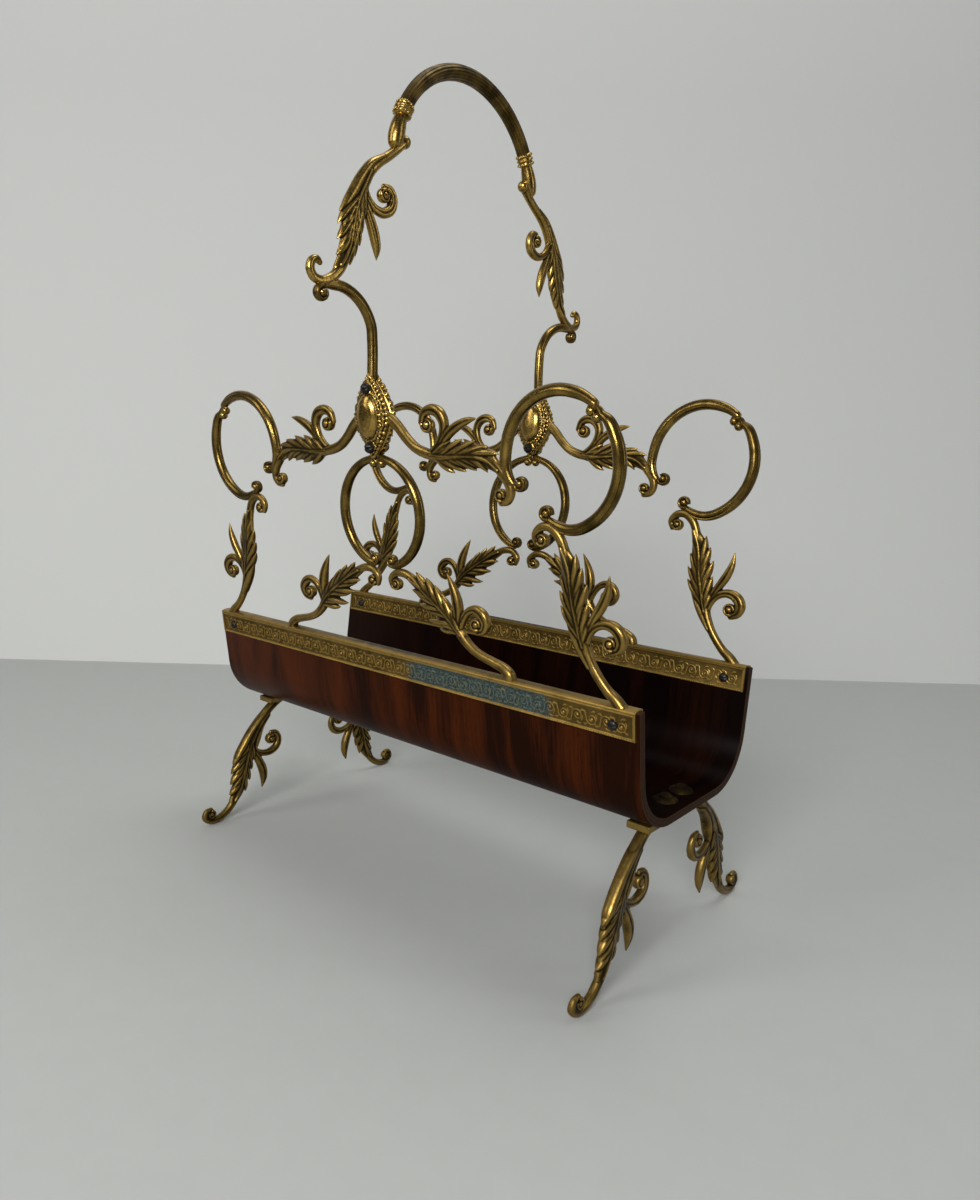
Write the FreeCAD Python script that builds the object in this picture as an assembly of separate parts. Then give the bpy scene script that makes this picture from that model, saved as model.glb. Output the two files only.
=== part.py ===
"""Canterbury-style magazine rack: a bent plywood trough on four cast brass legs, with two
scrolled brass galleries that lean outwards and are tied together by an arched carrying handle.

Millimetres. Origin on the floor under the middle of the rack, X along the trough, +Z up.
The front is -Y and the right is +X. The rack is the same on both sides of both middle planes,
so each casting is drawn once and mirrored.
"""
import FreeCAD, Part
import math
import os

V = FreeCAD.Vector

# Trough
TROUGH_LENGTH = 354.0
PLY = 5.0
FLOOR_HALF_WIDTH = 26.0
FLOOR_UNDERSIDE = 87.5
CORNER_RADIUS = 34.0
WALL_LEAN = 7.0
WALL_TOP = 156.7

# Rails
RAIL_LENGTH = 350.0
RAIL_SKIN = 1.0
RAIL_DEPTH = 15.0
RAIL_SCREW_X = 162.0
RAIL_SCREW_DROP = 8.5

# Galleries: (u, v) is the distance from the middle and the height above the rail, on the lean
GALLERY_LEAN = 5.2
GALLERY_BASE_Y = 62.8
GALLERY_BASE_Z = 158.0
CASTING = 6.0
SCROLL = 5.4
RING_BAR = 3.1
END_RING = (130.0, 118.4)
END_RING_RADIUS = 34.0
MIDDLE_RING = (0.0, 83.5)
MIDDLE_RING_RADIUS = 32.0
MIDDLE_RING_BAR = 2.9

# Medallions
MEDALLION_V = 139.5
MEDALLION_HALF_HEIGHT = 23.5
MEDALLION_HALF_WIDTH = 13.7
MEDALLION_SHELL = 5.0
SEAM = 0.2
BOSS = (9.4, 5.4)
BOSS_SUNK = 1.0
MEDALLION_SCREW_V = (155.0, 122.0)

# Handle: (u, v) is the distance from the middle plane and the height above the floor
ROD = 3.15
ROD_U = 76.6
ROD_BOTTOM = 300.0
HANDLE_CASTING = 7.0
GRIP_CENTRE = (0.0, 435.7)
GRIP_ARCH = 61.5
GRIP_BAR = 4.6
TENON = 2.6
FERRULE = 4.5
COLLAR = 5.7

# Legs: (u, v) is the distance from the middle plane and the height above the floor
LEG_X = 164.0
LEG_CASTING = 7.0
PAD_LENGTH = 37.5
PAD_WIDTH = 14.0
PAD_THICK = 4.0
LEG_SCREW_Y = 9.0

# Screws
SHANK = 1.6
SCREW_HEAD = (2.9, 1.8)
MEDALLION_HEAD = (3.25, 3.2)
WASHER = (7.0, 2.0)
LEG_SCREW_HEAD = (4.0, 2.2)


def save(node, shape):
    """Write one node's solids to its STEP file."""
    if not shape.isValid():
        raise ValueError(node + " is not a valid shape")
    if len(shape.Solids) > 1 and not node.endswith("s"):
        raise ValueError(node + " has come apart")
    shape.exportStep("parts/" + node + ".step")


def group(solids):
    """Several separate solids in one shape."""
    return Part.makeCompound(solids)


def joined(solids):
    """One solid made of several that overlap."""
    first = solids[0]
    return first.multiFuse(solids[1:]).removeSplitter()


def largest(shape):
    """The biggest solid of a shape, without the slivers that a cut can leave."""
    return max(shape.Solids, key=lambda solid: solid.Volume)


def placed(shape, base, turn):
    """The shape, turned and then moved to a base point."""
    moved = shape.copy()
    moved.Placement = FreeCAD.Placement(base, turn).multiply(moved.Placement)
    return moved


def mirrored(shape, in_x, in_y):
    """The shape, mirrored to the left side of the rack, to the other long side, or both."""
    if in_x:
        shape = shape.mirror(V(0, 0, 0), V(1, 0, 0))
    if in_y:
        shape = shape.mirror(V(0, 0, 0), V(0, 1, 0))
    return shape


def on_gallery(shape):
    """Stand a flat drawing up on the front rail, leaning outwards."""
    lean = FreeCAD.Rotation(V(1, 0, 0), 90.0 + GALLERY_LEAN)
    return placed(shape, V(0, -GALLERY_BASE_Y, GALLERY_BASE_Z), lean)


def on_end(shape, x):
    """Stand a flat drawing up across the rack at x, on its back half."""
    return placed(shape, V(x, 0, 0), FreeCAD.Rotation(V(1, 1, 1), 120.0))


def strand(points, thickness):
    """A flat bar whose centre line runs through the points (u, v, width), with round ends."""
    places = [V(u, v, 0) for u, v, width in points]
    line = Part.BSplineCurve()
    line.interpolate(places)
    left, right, along = [], [], []
    for place, (u, v, width) in zip(places, points):
        tangent = line.tangent(line.parameter(place))[0]
        reach = V(-tangent.y, tangent.x, 0) * (width / 2)
        left.append(place + reach)
        right.append(place - reach)
        along.append(tangent * (width / 2))
    there = Part.BSplineCurve()
    there.interpolate(left)
    back = Part.BSplineCurve()
    back.interpolate(right[::-1])
    tip = Part.Arc(left[-1], places[-1] + along[-1], right[-1])
    heel = Part.Arc(right[0], places[0] - along[0], left[0])
    edges = [curve.toShape() for curve in (there, tip, back, heel)]
    bar = Part.Face(Part.Wire(edges)).extrude(V(0, 0, thickness))
    bar.translate(V(0, 0, -thickness / 2))
    return bar


def ball(u, v, radius):
    """A ball in the plane of a drawing."""
    return Part.makeSphere(radius, V(u, v, 0))


def polar(centre, radius, angle):
    """The point of a drawing at this radius and angle, in degrees, about a centre."""
    turn = math.radians(angle)
    return V(centre[0] + radius * math.cos(turn), centre[1] + radius * math.sin(turn), 0)


def arc(centre, radius, start, end):
    """A circular arc from one angle to another, in degrees."""
    angles = (start, (start + end) / 2, end)
    return Part.Arc(*[polar(centre, radius, angle) for angle in angles]).toShape()


def round_bar(edges, radius):
    """A round bar along tangent lines and arcs."""
    first = edges[0]
    tangent = first.tangentAt(first.FirstParameter)
    disc = Part.Wire(Part.makeCircle(radius, first.valueAt(first.FirstParameter), tangent))
    return Part.Wire(edges).makePipeShell([disc], True, False)


def dome(head, base, direction):
    """A domed screw head of (radius, height) that rises from a base point along a direction."""
    radius, height = head
    sphere_radius = (radius ** 2 + height ** 2) / (2 * height)
    sunk = sphere_radius - height
    cap = Part.makeSphere(sphere_radius, V(0, 0, -sunk))
    cap = cap.common(Part.makeCylinder(radius + 1, height + 1))
    return placed(cap, base, FreeCAD.Rotation(V(0, 0, 1), direction))


def trough():
    """The U-shaped plywood shell, with square-cut rims."""
    lean = math.radians(WALL_LEAN)
    out = V(0, math.cos(lean), -math.sin(lean))
    up = V(0, math.sin(lean), math.cos(lean))
    centre = V(0, FLOOR_HALF_WIDTH, FLOOR_UNDERSIDE + CORNER_RADIUS)
    wall = (WALL_TOP - (centre + out * CORNER_RADIUS).z) / math.cos(lean)

    def half(radius):
        """Floor, corner and wall of one half, for the outer or the inner radius."""
        middle = (V(0, math.sin(math.pi / 4 - lean / 2), -math.cos(math.pi / 4 - lean / 2)))
        foot = centre + V(0, 0, -radius)
        corner = Part.Arc(foot, centre + middle * radius, centre + out * radius)
        rim = centre + out * radius + up * wall
        return [Part.makeLine(V(0, 0, foot.z), foot), corner.toShape(),
                Part.makeLine(centre + out * radius, rim)], rim

    outside, outer_rim = half(CORNER_RADIUS)
    inside, inner_rim = half(CORNER_RADIUS - PLY)
    right = outside + [Part.makeLine(outer_rim, inner_rim)] + inside
    left = [mirrored(edge, False, True) for edge in right]
    outline = Part.Wire(Part.__sortEdges__(right + left))
    shell = Part.Face(outline).extrude(V(TROUGH_LENGTH, 0, 0))
    shell.translate(V(-TROUGH_LENGTH / 2, 0, 0))
    return shell, (outer_rim + inner_rim) * 0.5


def on_rim(shape, rim):
    """Stand a drawing of the rail, with its origin at the middle of the rim, on the front wall."""
    return placed(shape, V(0, -rim.y, rim.z), FreeCAD.Rotation(V(1, 0, 0), WALL_LEAN))


def rail():
    """A brass channel over the rim: (x, across, up), before it is leaned, and the same unslotted."""
    width = PLY + 2 * RAIL_SKIN
    block = Part.makeBox(RAIL_LENGTH, width, RAIL_DEPTH + RAIL_SKIN,
                         V(-RAIL_LENGTH / 2, -width / 2, -RAIL_DEPTH))
    top_edges = [edge for edge in block.Edges
                 if edge.Length > RAIL_LENGTH - 1 and edge.CenterOfMass.z > 0]
    block = block.makeFillet(RAIL_SKIN * 0.8, top_edges)
    slot = Part.makeBox(RAIL_LENGTH + 2, PLY, RAIL_DEPTH + 1,
                        V(-RAIL_LENGTH / 2 - 1, -PLY / 2, -RAIL_DEPTH - 1))
    return block.cut(slot), block


def rail_screw_parts():
    """Screws, with heads outside, their nuts inside, and the shanks alone for the holes."""
    half = PLY / 2 + RAIL_SKIN
    screws, nuts, shanks = [], [], []
    for x in (-RAIL_SCREW_X, RAIL_SCREW_X):
        outside = V(x, -half, -RAIL_SCREW_DROP)
        inside = V(x, half, -RAIL_SCREW_DROP)
        shank = Part.makeCylinder(SHANK, 2 * half, outside, V(0, 1, 0))
        shanks.append(shank)
        screws.append(joined([shank, dome(SCREW_HEAD, outside, V(0, -1, 0))]))
        nuts.append(dome(SCREW_HEAD, inside, V(0, 1, 0)))
    return group(screws), group(nuts), group(shanks)


def outer_stem():
    """Leafy stem near the end of the rail that holds up the end ring."""
    stem = [(164, -2, 7), (158, 8, 6), (150, 17, 6.4), (143.5, 30, 8.5), (139, 46, 13),
            (136, 60, 13.5), (132.5, 73, 10), (128, 81.4, 5.6), (121.4, 84.4, 5), (115.8, 81, 4.6),
            (116.2, 76, 4)]
    scroll = [(144, 27, 6), (147, 34.5, 6), (151.5, 38.8, 5.8), (157, 40.3, 5.5), (163, 38.6, 5),
              (165.4, 34.2, 4.6), (163.5, 29.6, 4)]
    petal = [(145, 36, 5), (151, 44, 5.6), (155.6, 52, 5), (157.6, 62.6, 2)]
    return joined([strand(stem, CASTING), strand(scroll, SCROLL), strand(petal, SCROLL - 1),
                   ball(159.5, 31, 4.3), ball(119.8, 78.8, 4.2)])


def inner_stem():
    """Leafy stem that runs along the rail and curls up under the middle ring."""
    stem = [(94.5, -2, 6.4), (92.5, 5, 6.2), (86, 8.4, 6), (77, 10.8, 6), (67, 15, 6.2),
            (58.5, 22.5, 8.5), (48, 30.5, 13), (38, 38.5, 12.5), (27.5, 45, 8.5), (17, 48.6, 5.4),
            (8.4, 46.6, 4.8), (6, 41.5, 4.2)]
    scroll = [(59, 21, 6), (62.5, 28.5, 5.6), (66.5, 33.6, 5.2), (71.5, 35.2, 5), (76, 33.4, 4.8),
              (78.2, 29.2, 4.4), (76.2, 25, 4)]
    petal = [(57, 24, 5), (58.4, 33, 6.2), (56.6, 42, 5.6), (51, 53, 1.6)]
    return joined([strand(stem, CASTING), strand(scroll, SCROLL), strand(petal, SCROLL - 1),
                   ball(72.3, 27.4, 4.1), ball(10.4, 42.3, 4.1)])


def arm():
    """Leafy arm from the medallion out to the end ring."""
    stem = [(5.5, 139.5, 6.2), (13.6, 137.7, 6.3), (22, 130.6, 6.4), (31, 123, 6.6),
            (42, 119, 8), (53, 118, 10.5), (66, 118.5, 13.5), (78, 118.6, 13), (87, 116.2, 10),
            (92.4, 111.6, 6.8), (96.2, 107.3, 5.2), (98.6, 102.6, 4.8), (97.2, 98.4, 4.4),
            (93.4, 97, 4)]
    scroll = [(44, 120, 6), (50.2, 125.6, 6), (53, 132.5, 6), (51.6, 139, 5.6), (46.5, 142.4, 5.2),
              (40.6, 141.4, 4.8), (37.6, 137, 4)]
    petal = [(51, 126, 5), (58, 131.2, 5.8), (66, 135.2, 5), (75.5, 138, 1.6)]
    return joined([strand(stem, CASTING), strand(scroll, SCROLL), strand(petal, SCROLL - 1),
                   ball(41.8, 136.4, 4.9), ball(92, 99.6, 4.1)])


def end_ring_upper():
    """Upper part of the end ring, from the joint over the top and down to its inner ball."""
    turn = polar(END_RING, END_RING_RADIUS - 7, 188)
    big = arc(END_RING, END_RING_RADIUS, 55, 188)
    small = arc((turn.x, turn.y), 7.0, 188, 262)
    tip = polar(END_RING, END_RING_RADIUS - 1.6, 55)
    return joined([round_bar([big, small], RING_BAR), ball(105.5, 106.4, 4.7),
                   ball(tip.x, tip.y, 3.4)])


def end_ring_lower():
    """Lower part of the end ring, from the joint round the outside and back to its inner ball."""
    turn = polar(END_RING, END_RING_RADIUS - 18, -78)
    big = arc(END_RING, END_RING_RADIUS, 44, -78)
    small = arc((turn.x, turn.y), 18.0, -78, -124)
    tip = polar(END_RING, END_RING_RADIUS - 1.6, 44)
    return joined([round_bar([big, small], RING_BAR), ball(121.9, 92.0, 4.7),
                   ball(tip.x, tip.y, 3.4)])


def middle_ring_half():
    """One half of the middle ring, with a small ball at the top and a larger one below."""
    bar = round_bar([arc(MIDDLE_RING, MIDDLE_RING_RADIUS, 88, -78)], MIDDLE_RING_BAR)
    return joined([bar, ball(3.6, 112.8, 2.7), ball(7.2, 55.6, 4.3)])


def medallion_shell(outwards):
    """One half of a medallion: a pointed oval plate with a smooth boss, outside or inside."""
    rise = MEDALLION_HALF_HEIGHT
    top, bottom = V(0, MEDALLION_V + rise, 0), V(0, MEDALLION_V - rise, 0)
    sides = [Part.Arc(top, V(side * MEDALLION_HALF_WIDTH, MEDALLION_V, 0), bottom).toShape()
             for side in (1, -1)]
    plate = Part.Face(Part.Wire(Part.__sortEdges__(sides))).extrude(V(0, 0, MEDALLION_SHELL - SEAM))
    plate.translate(V(0, 0, SEAM))
    boss = dome(BOSS, V(0, MEDALLION_V, MEDALLION_SHELL - BOSS_SUNK), V(0, 0, 1))
    shell = joined([plate, boss])
    return shell if outwards else shell.mirror(V(0, 0, 0), V(0, 0, 1))


def medallion_screw_parts():
    """Screws through both shells, their domed nuts, and the shanks alone for the holes."""
    screws, nuts, shanks = [], [], []
    for v in MEDALLION_SCREW_V:
        shank = Part.makeCylinder(SHANK, 2 * MEDALLION_SHELL, V(0, v, -MEDALLION_SHELL))
        shanks.append(shank)
        head = dome(MEDALLION_HEAD, V(0, v, MEDALLION_SHELL), V(0, 0, 1))
        screws.append(joined([shank, head]))
        nuts.append(dome(MEDALLION_HEAD, V(0, v, -MEDALLION_SHELL), V(0, 0, -1)))
    return group(screws), group(nuts), group(shanks)


def handle_rod():
    """Round rod from the medallion up to the handle, hooked outwards and ended in a ball."""
    bend = 27.4
    level = 337.4
    hook = 5.5
    reach = ROD_U + bend + 4.0
    edges = [Part.makeLine(V(ROD_U, ROD_BOTTOM, 0), V(ROD_U, level, 0)),
             arc((ROD_U + bend, level), bend, 180, 90),
             Part.makeLine(V(ROD_U + bend, level + bend, 0), V(reach, level + bend, 0)),
             arc((reach, level + bend - hook), hook, 90, 10)]
    return joined([round_bar(edges, ROD), ball(113.8, 359.4, 5.2)])


def handle_leaf():
    """Leafy scroll between the rod and the grip."""
    stem = [(115.6, 377, 3.6), (119.8, 374.8, 4.2), (120, 369.8, 4.4), (115.4, 367, 4.6),
            (108.8, 369, 5.2), (102, 377, 9), (96.5, 387, 13), (93.5, 399, 15), (89.6, 410.5, 11),
            (84.5, 419.5, 7), (78.6, 427.6, 5.6), (71, 434, 5), (64.5, 438.4, 5), (58.6, 443, 4.6),
            (54, 447.4, 3.8)]
    scroll = [(82.5, 418, 5), (79, 409.6, 5), (71.4, 405.2, 5), (64.4, 407.6, 4.8),
              (62.4, 414, 4.6), (66, 419, 4)]
    petal = [(82, 411, 5), (77.6, 402, 6.4), (74, 393, 6), (74.7, 383, 1.6)]
    return joined([strand(stem, HANDLE_CASTING), strand(scroll, HANDLE_CASTING - 0.6),
                   strand(petal, HANDLE_CASTING - 1.4), ball(68.9, 414.2, 4.9),
                   ball(115.8, 372.6, 3.6), ball(53.2, 448, 3.4)])


def grip_arc(radius, start, end):
    """A stretch of round bar along the arch of the grip."""
    return round_bar([arc(GRIP_CENTRE, GRIP_ARCH, start, end)], radius)


def ferrule():
    """Socket with a collar that takes one end of the grip."""
    body = joined([grip_arc(FERRULE, 8, 25), grip_arc(COLLAR, 25, 30.5)])
    return body.cut(grip_arc(TENON, 14, 31))


def grip():
    """Arched grip bar with a tenon at each end."""
    return joined([grip_arc(GRIP_BAR, 30.5, 149.5), grip_arc(TENON, 14, 31),
                   grip_arc(TENON, 149, 166)])


def leg():
    """Leafy cabriole leg with a mounting pad at the top and a scrolled foot."""
    stem = [(22, 84.3, 3.6), (31, 81, 6.6), (40.5, 73.8, 7.8), (47.6, 65.8, 9), (53, 56.3, 12),
            (58.5, 44, 16), (61, 31, 17), (63.4, 20.5, 13), (69, 10.2, 8.4), (76.6, 4.2, 5.6),
            (84, 2.2, 4.6), (90.2, 4.6, 4.4), (91, 9.6, 4), (87.4, 11.4, 3.6)]
    scroll = [(52, 52, 6), (46.5, 46.2, 5), (40, 43.6, 4.6), (33.6, 43.8, 4.4), (28.6, 47, 4.2),
              (27.2, 52.4, 4), (29.6, 57, 3.8)]
    petal = [(48.5, 45, 5), (43.6, 37, 7), (41, 28, 7), (42, 17.6, 1.6)]
    casting = joined([strand(stem, LEG_CASTING), strand(scroll, LEG_CASTING - 0.6),
                      strand(petal, LEG_CASTING - 1.4), ball(33.8, 52.6, 4.4), ball(87.2, 7.2, 3.4)])
    below = Part.makeBox(200, 20, 40, V(0, -20, -20))
    return casting.cut(below)


def pad():
    """Mounting pad of a leg, under the floor of the trough, drawn on the back half."""
    radius = PAD_WIDTH / 2
    top = FLOOR_UNDERSIDE
    start = V(LEG_X - radius, 1.5, top - PAD_THICK)
    plate = Part.makeBox(PAD_WIDTH, PAD_LENGTH - 1.5 - radius, PAD_THICK, start)
    end = Part.makeCylinder(radius, PAD_THICK, V(LEG_X, PAD_LENGTH - radius, start.z))
    return joined([plate, end])


def leg_screw_parts(x, y):
    """Domed washer on the trough floor, and the screw that runs through it into the pad."""
    floor = FLOOR_UNDERSIDE + PLY
    radius, height = WASHER
    shank = Part.makeCylinder(SHANK, floor + height - FLOOR_UNDERSIDE + PAD_THICK,
                              V(x, y, FLOOR_UNDERSIDE - PAD_THICK))
    edge = Part.makeCone(radius, radius * 0.6, height, V(x, y, floor))
    head = dome(LEG_SCREW_HEAD, V(x, y, floor + height), V(0, 0, 1))
    return joined([shank, head]), edge.cut(shank), shank


def build():
    """Make every piece and write it."""
    os.makedirs("parts", exist_ok=True)
    shell, rim = trough()

    # Legs with their screws and washers
    leg_screws, washers, shanks = [], [], []
    for x in (-LEG_X, LEG_X):
        for y in (-LEG_SCREW_Y, LEG_SCREW_Y):
            screw, washer, shank = leg_screw_parts(x, y)
            leg_screws.append(screw)
            washers.append(washer)
            shanks.append(shank)
    shank_holes = group(shanks)
    right_back_leg = joined([on_end(leg(), LEG_X), pad()]).cut(shell)
    for in_x, end_name in ((True, "left"), (False, "right")):
        for in_y, side in ((True, "front"), (False, "back")):
            node = side + "_" + end_name + "_leg"
            save(node, mirrored(right_back_leg, in_x, in_y).cut(shank_holes))
    save("leg_screws", group(leg_screws))
    save("leg_washers", group(washers))
    shell = shell.cut(shank_holes)

    # Front rail and gallery, then the same pieces mirrored to the back
    screws, nuts, rail_shanks = [on_rim(part, rim) for part in rail_screw_parts()]
    front_rail, rail_block = [on_rim(part, rim) for part in rail()]
    front_rail = front_rail.cut(rail_shanks)
    shell = shell.cut(rail_shanks).cut(mirrored(rail_shanks, False, True))
    save("trough_shell", shell)

    ring_upper, ring_lower = on_gallery(end_ring_upper()), on_gallery(end_ring_lower())
    middle_half = on_gallery(middle_ring_half())
    other_half = mirrored(middle_half, True, False)
    rod = mirrored(on_end(handle_rod(), 0), False, True)
    medallion_screws, medallion_nuts, screw_shanks = [on_gallery(part)
                                                      for part in medallion_screw_parts()]
    rod = rod.cut(screw_shanks)
    right_arm = on_gallery(arm())
    stem_outer = largest(on_gallery(outer_stem()).cut(rail_block).cut(ring_lower))
    stem_inner = largest(on_gallery(inner_stem()).cut(rail_block).cut(middle_half))
    shells = {}
    for name, outwards in (("outer", True), ("inner", False)):
        half = on_gallery(medallion_shell(outwards)).cut(screw_shanks).cut(rod)
        for piece in (right_arm, mirrored(right_arm, True, False), middle_half, other_half):
            half = half.cut(piece)
        shells[name] = half
    right_arm = largest(right_arm.cut(ring_upper))
    leaf = mirrored(on_end(handle_leaf(), 0), False, True).cut(rod)
    socket = mirrored(on_end(ferrule(), 0), False, True)
    leaf = leaf.cut(socket).cut(mirrored(on_end(grip_arc(TENON, 8, 31), 0), False, True))

    for in_y, side in ((False, "front"), (True, "back")):
        save(side + "_rail", mirrored(front_rail, False, in_y))
        save(side + "_rail_screws", mirrored(screws, False, in_y))
        save(side + "_rail_nuts", mirrored(nuts, False, in_y))
        save(side + "_medallion_screws", mirrored(medallion_screws, False, in_y))
        save(side + "_medallion_nuts", mirrored(medallion_nuts, False, in_y))
        save(side + "_medallion_outer_shell", mirrored(shells["outer"], False, in_y))
        save(side + "_medallion_inner_shell", mirrored(shells["inner"], False, in_y))
        save(side + "_handle_rod", mirrored(rod, False, in_y))
        save(side + "_handle_leaf", mirrored(leaf, False, in_y))
        save(side + "_grip_socket", mirrored(socket, False, in_y))
        for in_x, end_name in ((True, "left"), (False, "right")):
            place = side + "_" + end_name
            save(place + "_outer_stem", mirrored(stem_outer, in_x, in_y))
            save(place + "_inner_stem", mirrored(stem_inner, in_x, in_y))
            save(place + "_arm", mirrored(right_arm, in_x, in_y))
            save(place + "_ring_upper_arc", mirrored(ring_upper, in_x, in_y))
            save(place + "_ring_lower_arc", mirrored(ring_lower, in_x, in_y))
            save(place + "_middle_ring_half", mirrored(middle_half, in_x, in_y))
    save("handle_grip", on_end(grip(), 0))


build()
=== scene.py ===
"""Looks of the magazine rack: scrolled cast brass galleries, legs and handle on a bent mahogany trough.

Each casting is drawn flat in millimetres, as (u, v, width) points along its bars, with its leaf
lobes given by their tips. The drawing is skinned, fused and softened like a casting, and then
stood up in metres where the frame has that piece.
"""
import math
import random

import bmesh
import bpy
from mathutils import Matrix, Vector, geometry


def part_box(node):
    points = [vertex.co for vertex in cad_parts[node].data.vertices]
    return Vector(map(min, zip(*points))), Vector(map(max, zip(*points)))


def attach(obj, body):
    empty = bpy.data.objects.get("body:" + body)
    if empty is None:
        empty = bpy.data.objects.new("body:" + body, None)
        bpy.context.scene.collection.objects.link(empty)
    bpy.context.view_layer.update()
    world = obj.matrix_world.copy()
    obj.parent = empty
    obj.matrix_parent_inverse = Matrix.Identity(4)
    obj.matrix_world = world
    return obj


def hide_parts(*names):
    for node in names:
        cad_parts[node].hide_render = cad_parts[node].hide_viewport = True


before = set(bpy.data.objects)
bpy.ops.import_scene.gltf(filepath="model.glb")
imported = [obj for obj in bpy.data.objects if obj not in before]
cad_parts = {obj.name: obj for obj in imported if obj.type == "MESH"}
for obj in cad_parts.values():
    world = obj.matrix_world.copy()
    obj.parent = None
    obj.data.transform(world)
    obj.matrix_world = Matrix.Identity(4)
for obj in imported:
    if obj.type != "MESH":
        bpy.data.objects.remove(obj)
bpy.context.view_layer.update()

bl_info = {
    "name": "Magazine Rack",
    "version": (1, 0, 0),
    "blender": (4, 5, 0),
    "location": "3D View > Sidebar > Rack",
    "description": "Builds the brass and mahogany magazine rack around its CAD frame",
    "category": "Object",
}

MM = 0.001
SIDES = (("front", 1), ("back", -1))  # name, and sign that takes the front piece across to it
ENDS = (("right", 1), ("left", -1))  # name, and sign that takes the right piece along to it


# ---- Settings ----

def length(name, default, description):
    """A size, given here in millimetres and kept in metres."""
    return bpy.props.FloatProperty(name=name, default=default * MM, description=description, min=0.0,
                                   unit="LENGTH", precision=5)


def colour(name, default, description):
    """A linear colour."""
    return bpy.props.FloatVectorProperty(name=name, default=default, description=description,
                                         subtype="COLOR", size=3, min=0.0, max=1.0)


class RackSizes(bpy.types.PropertyGroup):
    """Sizes that the pieces share."""
    gallery_lean: bpy.props.FloatProperty(name="Gallery lean", default=math.radians(5.2), unit="ROTATION",
                                          description="How far the galleries lean outwards")
    wall_lean: bpy.props.FloatProperty(name="Wall lean", default=math.radians(7.0), unit="ROTATION",
                                       description="How far the trough's walls lean outwards")
    grain: length("Casting grain", 0.42, "Finest detail that the fused castings keep")
    bead_grain: length("Bead grain", 0.36, "Finest detail that the beaded medallions keep")
    ply: length("Ply", 5.0, "Thickness of the bent plywood")
    bend_radius: length("Bend radius", 34.0, "Outer radius of the trough's two bends")
    half_floor: length("Half floor", 26.0, "From the middle of the trough's floor to where a bend starts")
    rail_depth: length("Rail depth", 15.0, "How far the brass channel reaches down the wall")
    vine_pitch: length("Vine pitch", 8.75, "Length of one scroll of the embossed band")
    reeds: bpy.props.IntProperty(name="Reeds", default=14, min=3, description="Reeds round the grip")


class RackFinishes(bpy.types.PropertyGroup):
    """Colours of the rack's finishes."""
    brass: colour("Brass", (0.39, 0.25, 0.064), "Rubbed brass on the high places")
    brass_mid: colour("Dull brass", (0.050, 0.032, 0.0060), "Brass under its usual tarnish")
    # Brown patina; through the cavity mask it also darkens the hollows of the brass as painted shade.
    brass_dark: colour("Brown patina", (0.008, 0.0043, 0.0008), "Patina in the recesses")
    verdigris: colour("Verdigris", (0.006, 0.014, 0.014), "Dark ground of the bloom on the rail")
    slate: colour("Slate", (0.040, 0.044, 0.044), "Grey stain on top of the rail")
    verdigris_pale: colour("Pale verdigris", (0.050, 0.098, 0.104), "Pale crust of the bloom")
    mahogany: colour("Mahogany", (0.051, 0.0108, 0.0018), "Lighter figure of the veneer")
    mahogany_dark: colour("Dark figure", (0.0105, 0.0027, 0.0010), "Darker figure of the veneer")
    ply_edge: colour("Ply edge", (0.052, 0.026, 0.012), "Cut edge of the plywood")
    steel: colour("Black steel", (0.012, 0.011, 0.010), "Blackened screw heads")
    worn_steel: colour("Worn steel", (0.09, 0.085, 0.08), "Rubbed crowns of the screw heads")
    floor: colour("Floor", (0.395, 0.405, 0.39), "Pale floor")
    wall: colour("Wall", (0.55, 0.557, 0.54), "Pale wall")


def sizes():
    """The rack's sizes."""
    return bpy.context.scene.rack_sizes


def mm(size):
    """A size in the millimetres of the drawings."""
    return round(size / MM, 4)


def finishes():
    """The rack's colours."""
    return bpy.context.scene.rack_finishes


# ---- Placing a drawing ----

def mirror(along, across):
    """Mirrors the front right piece to the other end (-1 along) or the other side (-1 across)."""
    return Matrix.Diagonal((along, across, 1, 1))


def leaning_plane(inset, sink, lean):
    """Drawing plane on the front rail: u along it, v up, w outwards, set in and down in millimetres."""
    low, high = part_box("front_rail")
    foot = Vector((0, (low.y + high.y) / 2 - inset * MM, high.z - sink * MM))
    return Matrix.Translation(foot) @ Matrix.Rotation(math.radians(90) + lean, 4, "X") @ Matrix.Scale(MM, 4)


def on_gallery():
    """Drawing plane of the front gallery: u from the middle, v up from the rail, w outwards."""
    return leaning_plane(1.35, 0.4, sizes().gallery_lean)


def on_rail():
    """Drawing plane of the front rail: u along it, v up from the rim, w outwards."""
    return leaning_plane(0.85, 1.4, sizes().wall_lean)


def across_rack(x):
    """Drawing plane across the rack at x, front half: u outwards, v up from the floor."""
    turn = Matrix(((0, 0, 1, x), (-1, 0, 0, 0), (0, 1, 0, 0), (0, 0, 0, 1)))
    return turn @ Matrix.Diagonal((MM, MM, MM, 1))


def polar(centre, radius, angle):
    """A point of a drawing at a radius and an angle in degrees about a centre."""
    turn = math.radians(angle)
    return centre[0] + radius * math.cos(turn), centre[1] + radius * math.sin(turn)


def arc(centre, radius, angles, widths):
    """Points (u, v, width) at these angles of a circle."""
    return [(*polar(centre, radius, a), w) for a, w in zip(angles, widths)]


# ---- Skinning bars, balls and leaves ----

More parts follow.
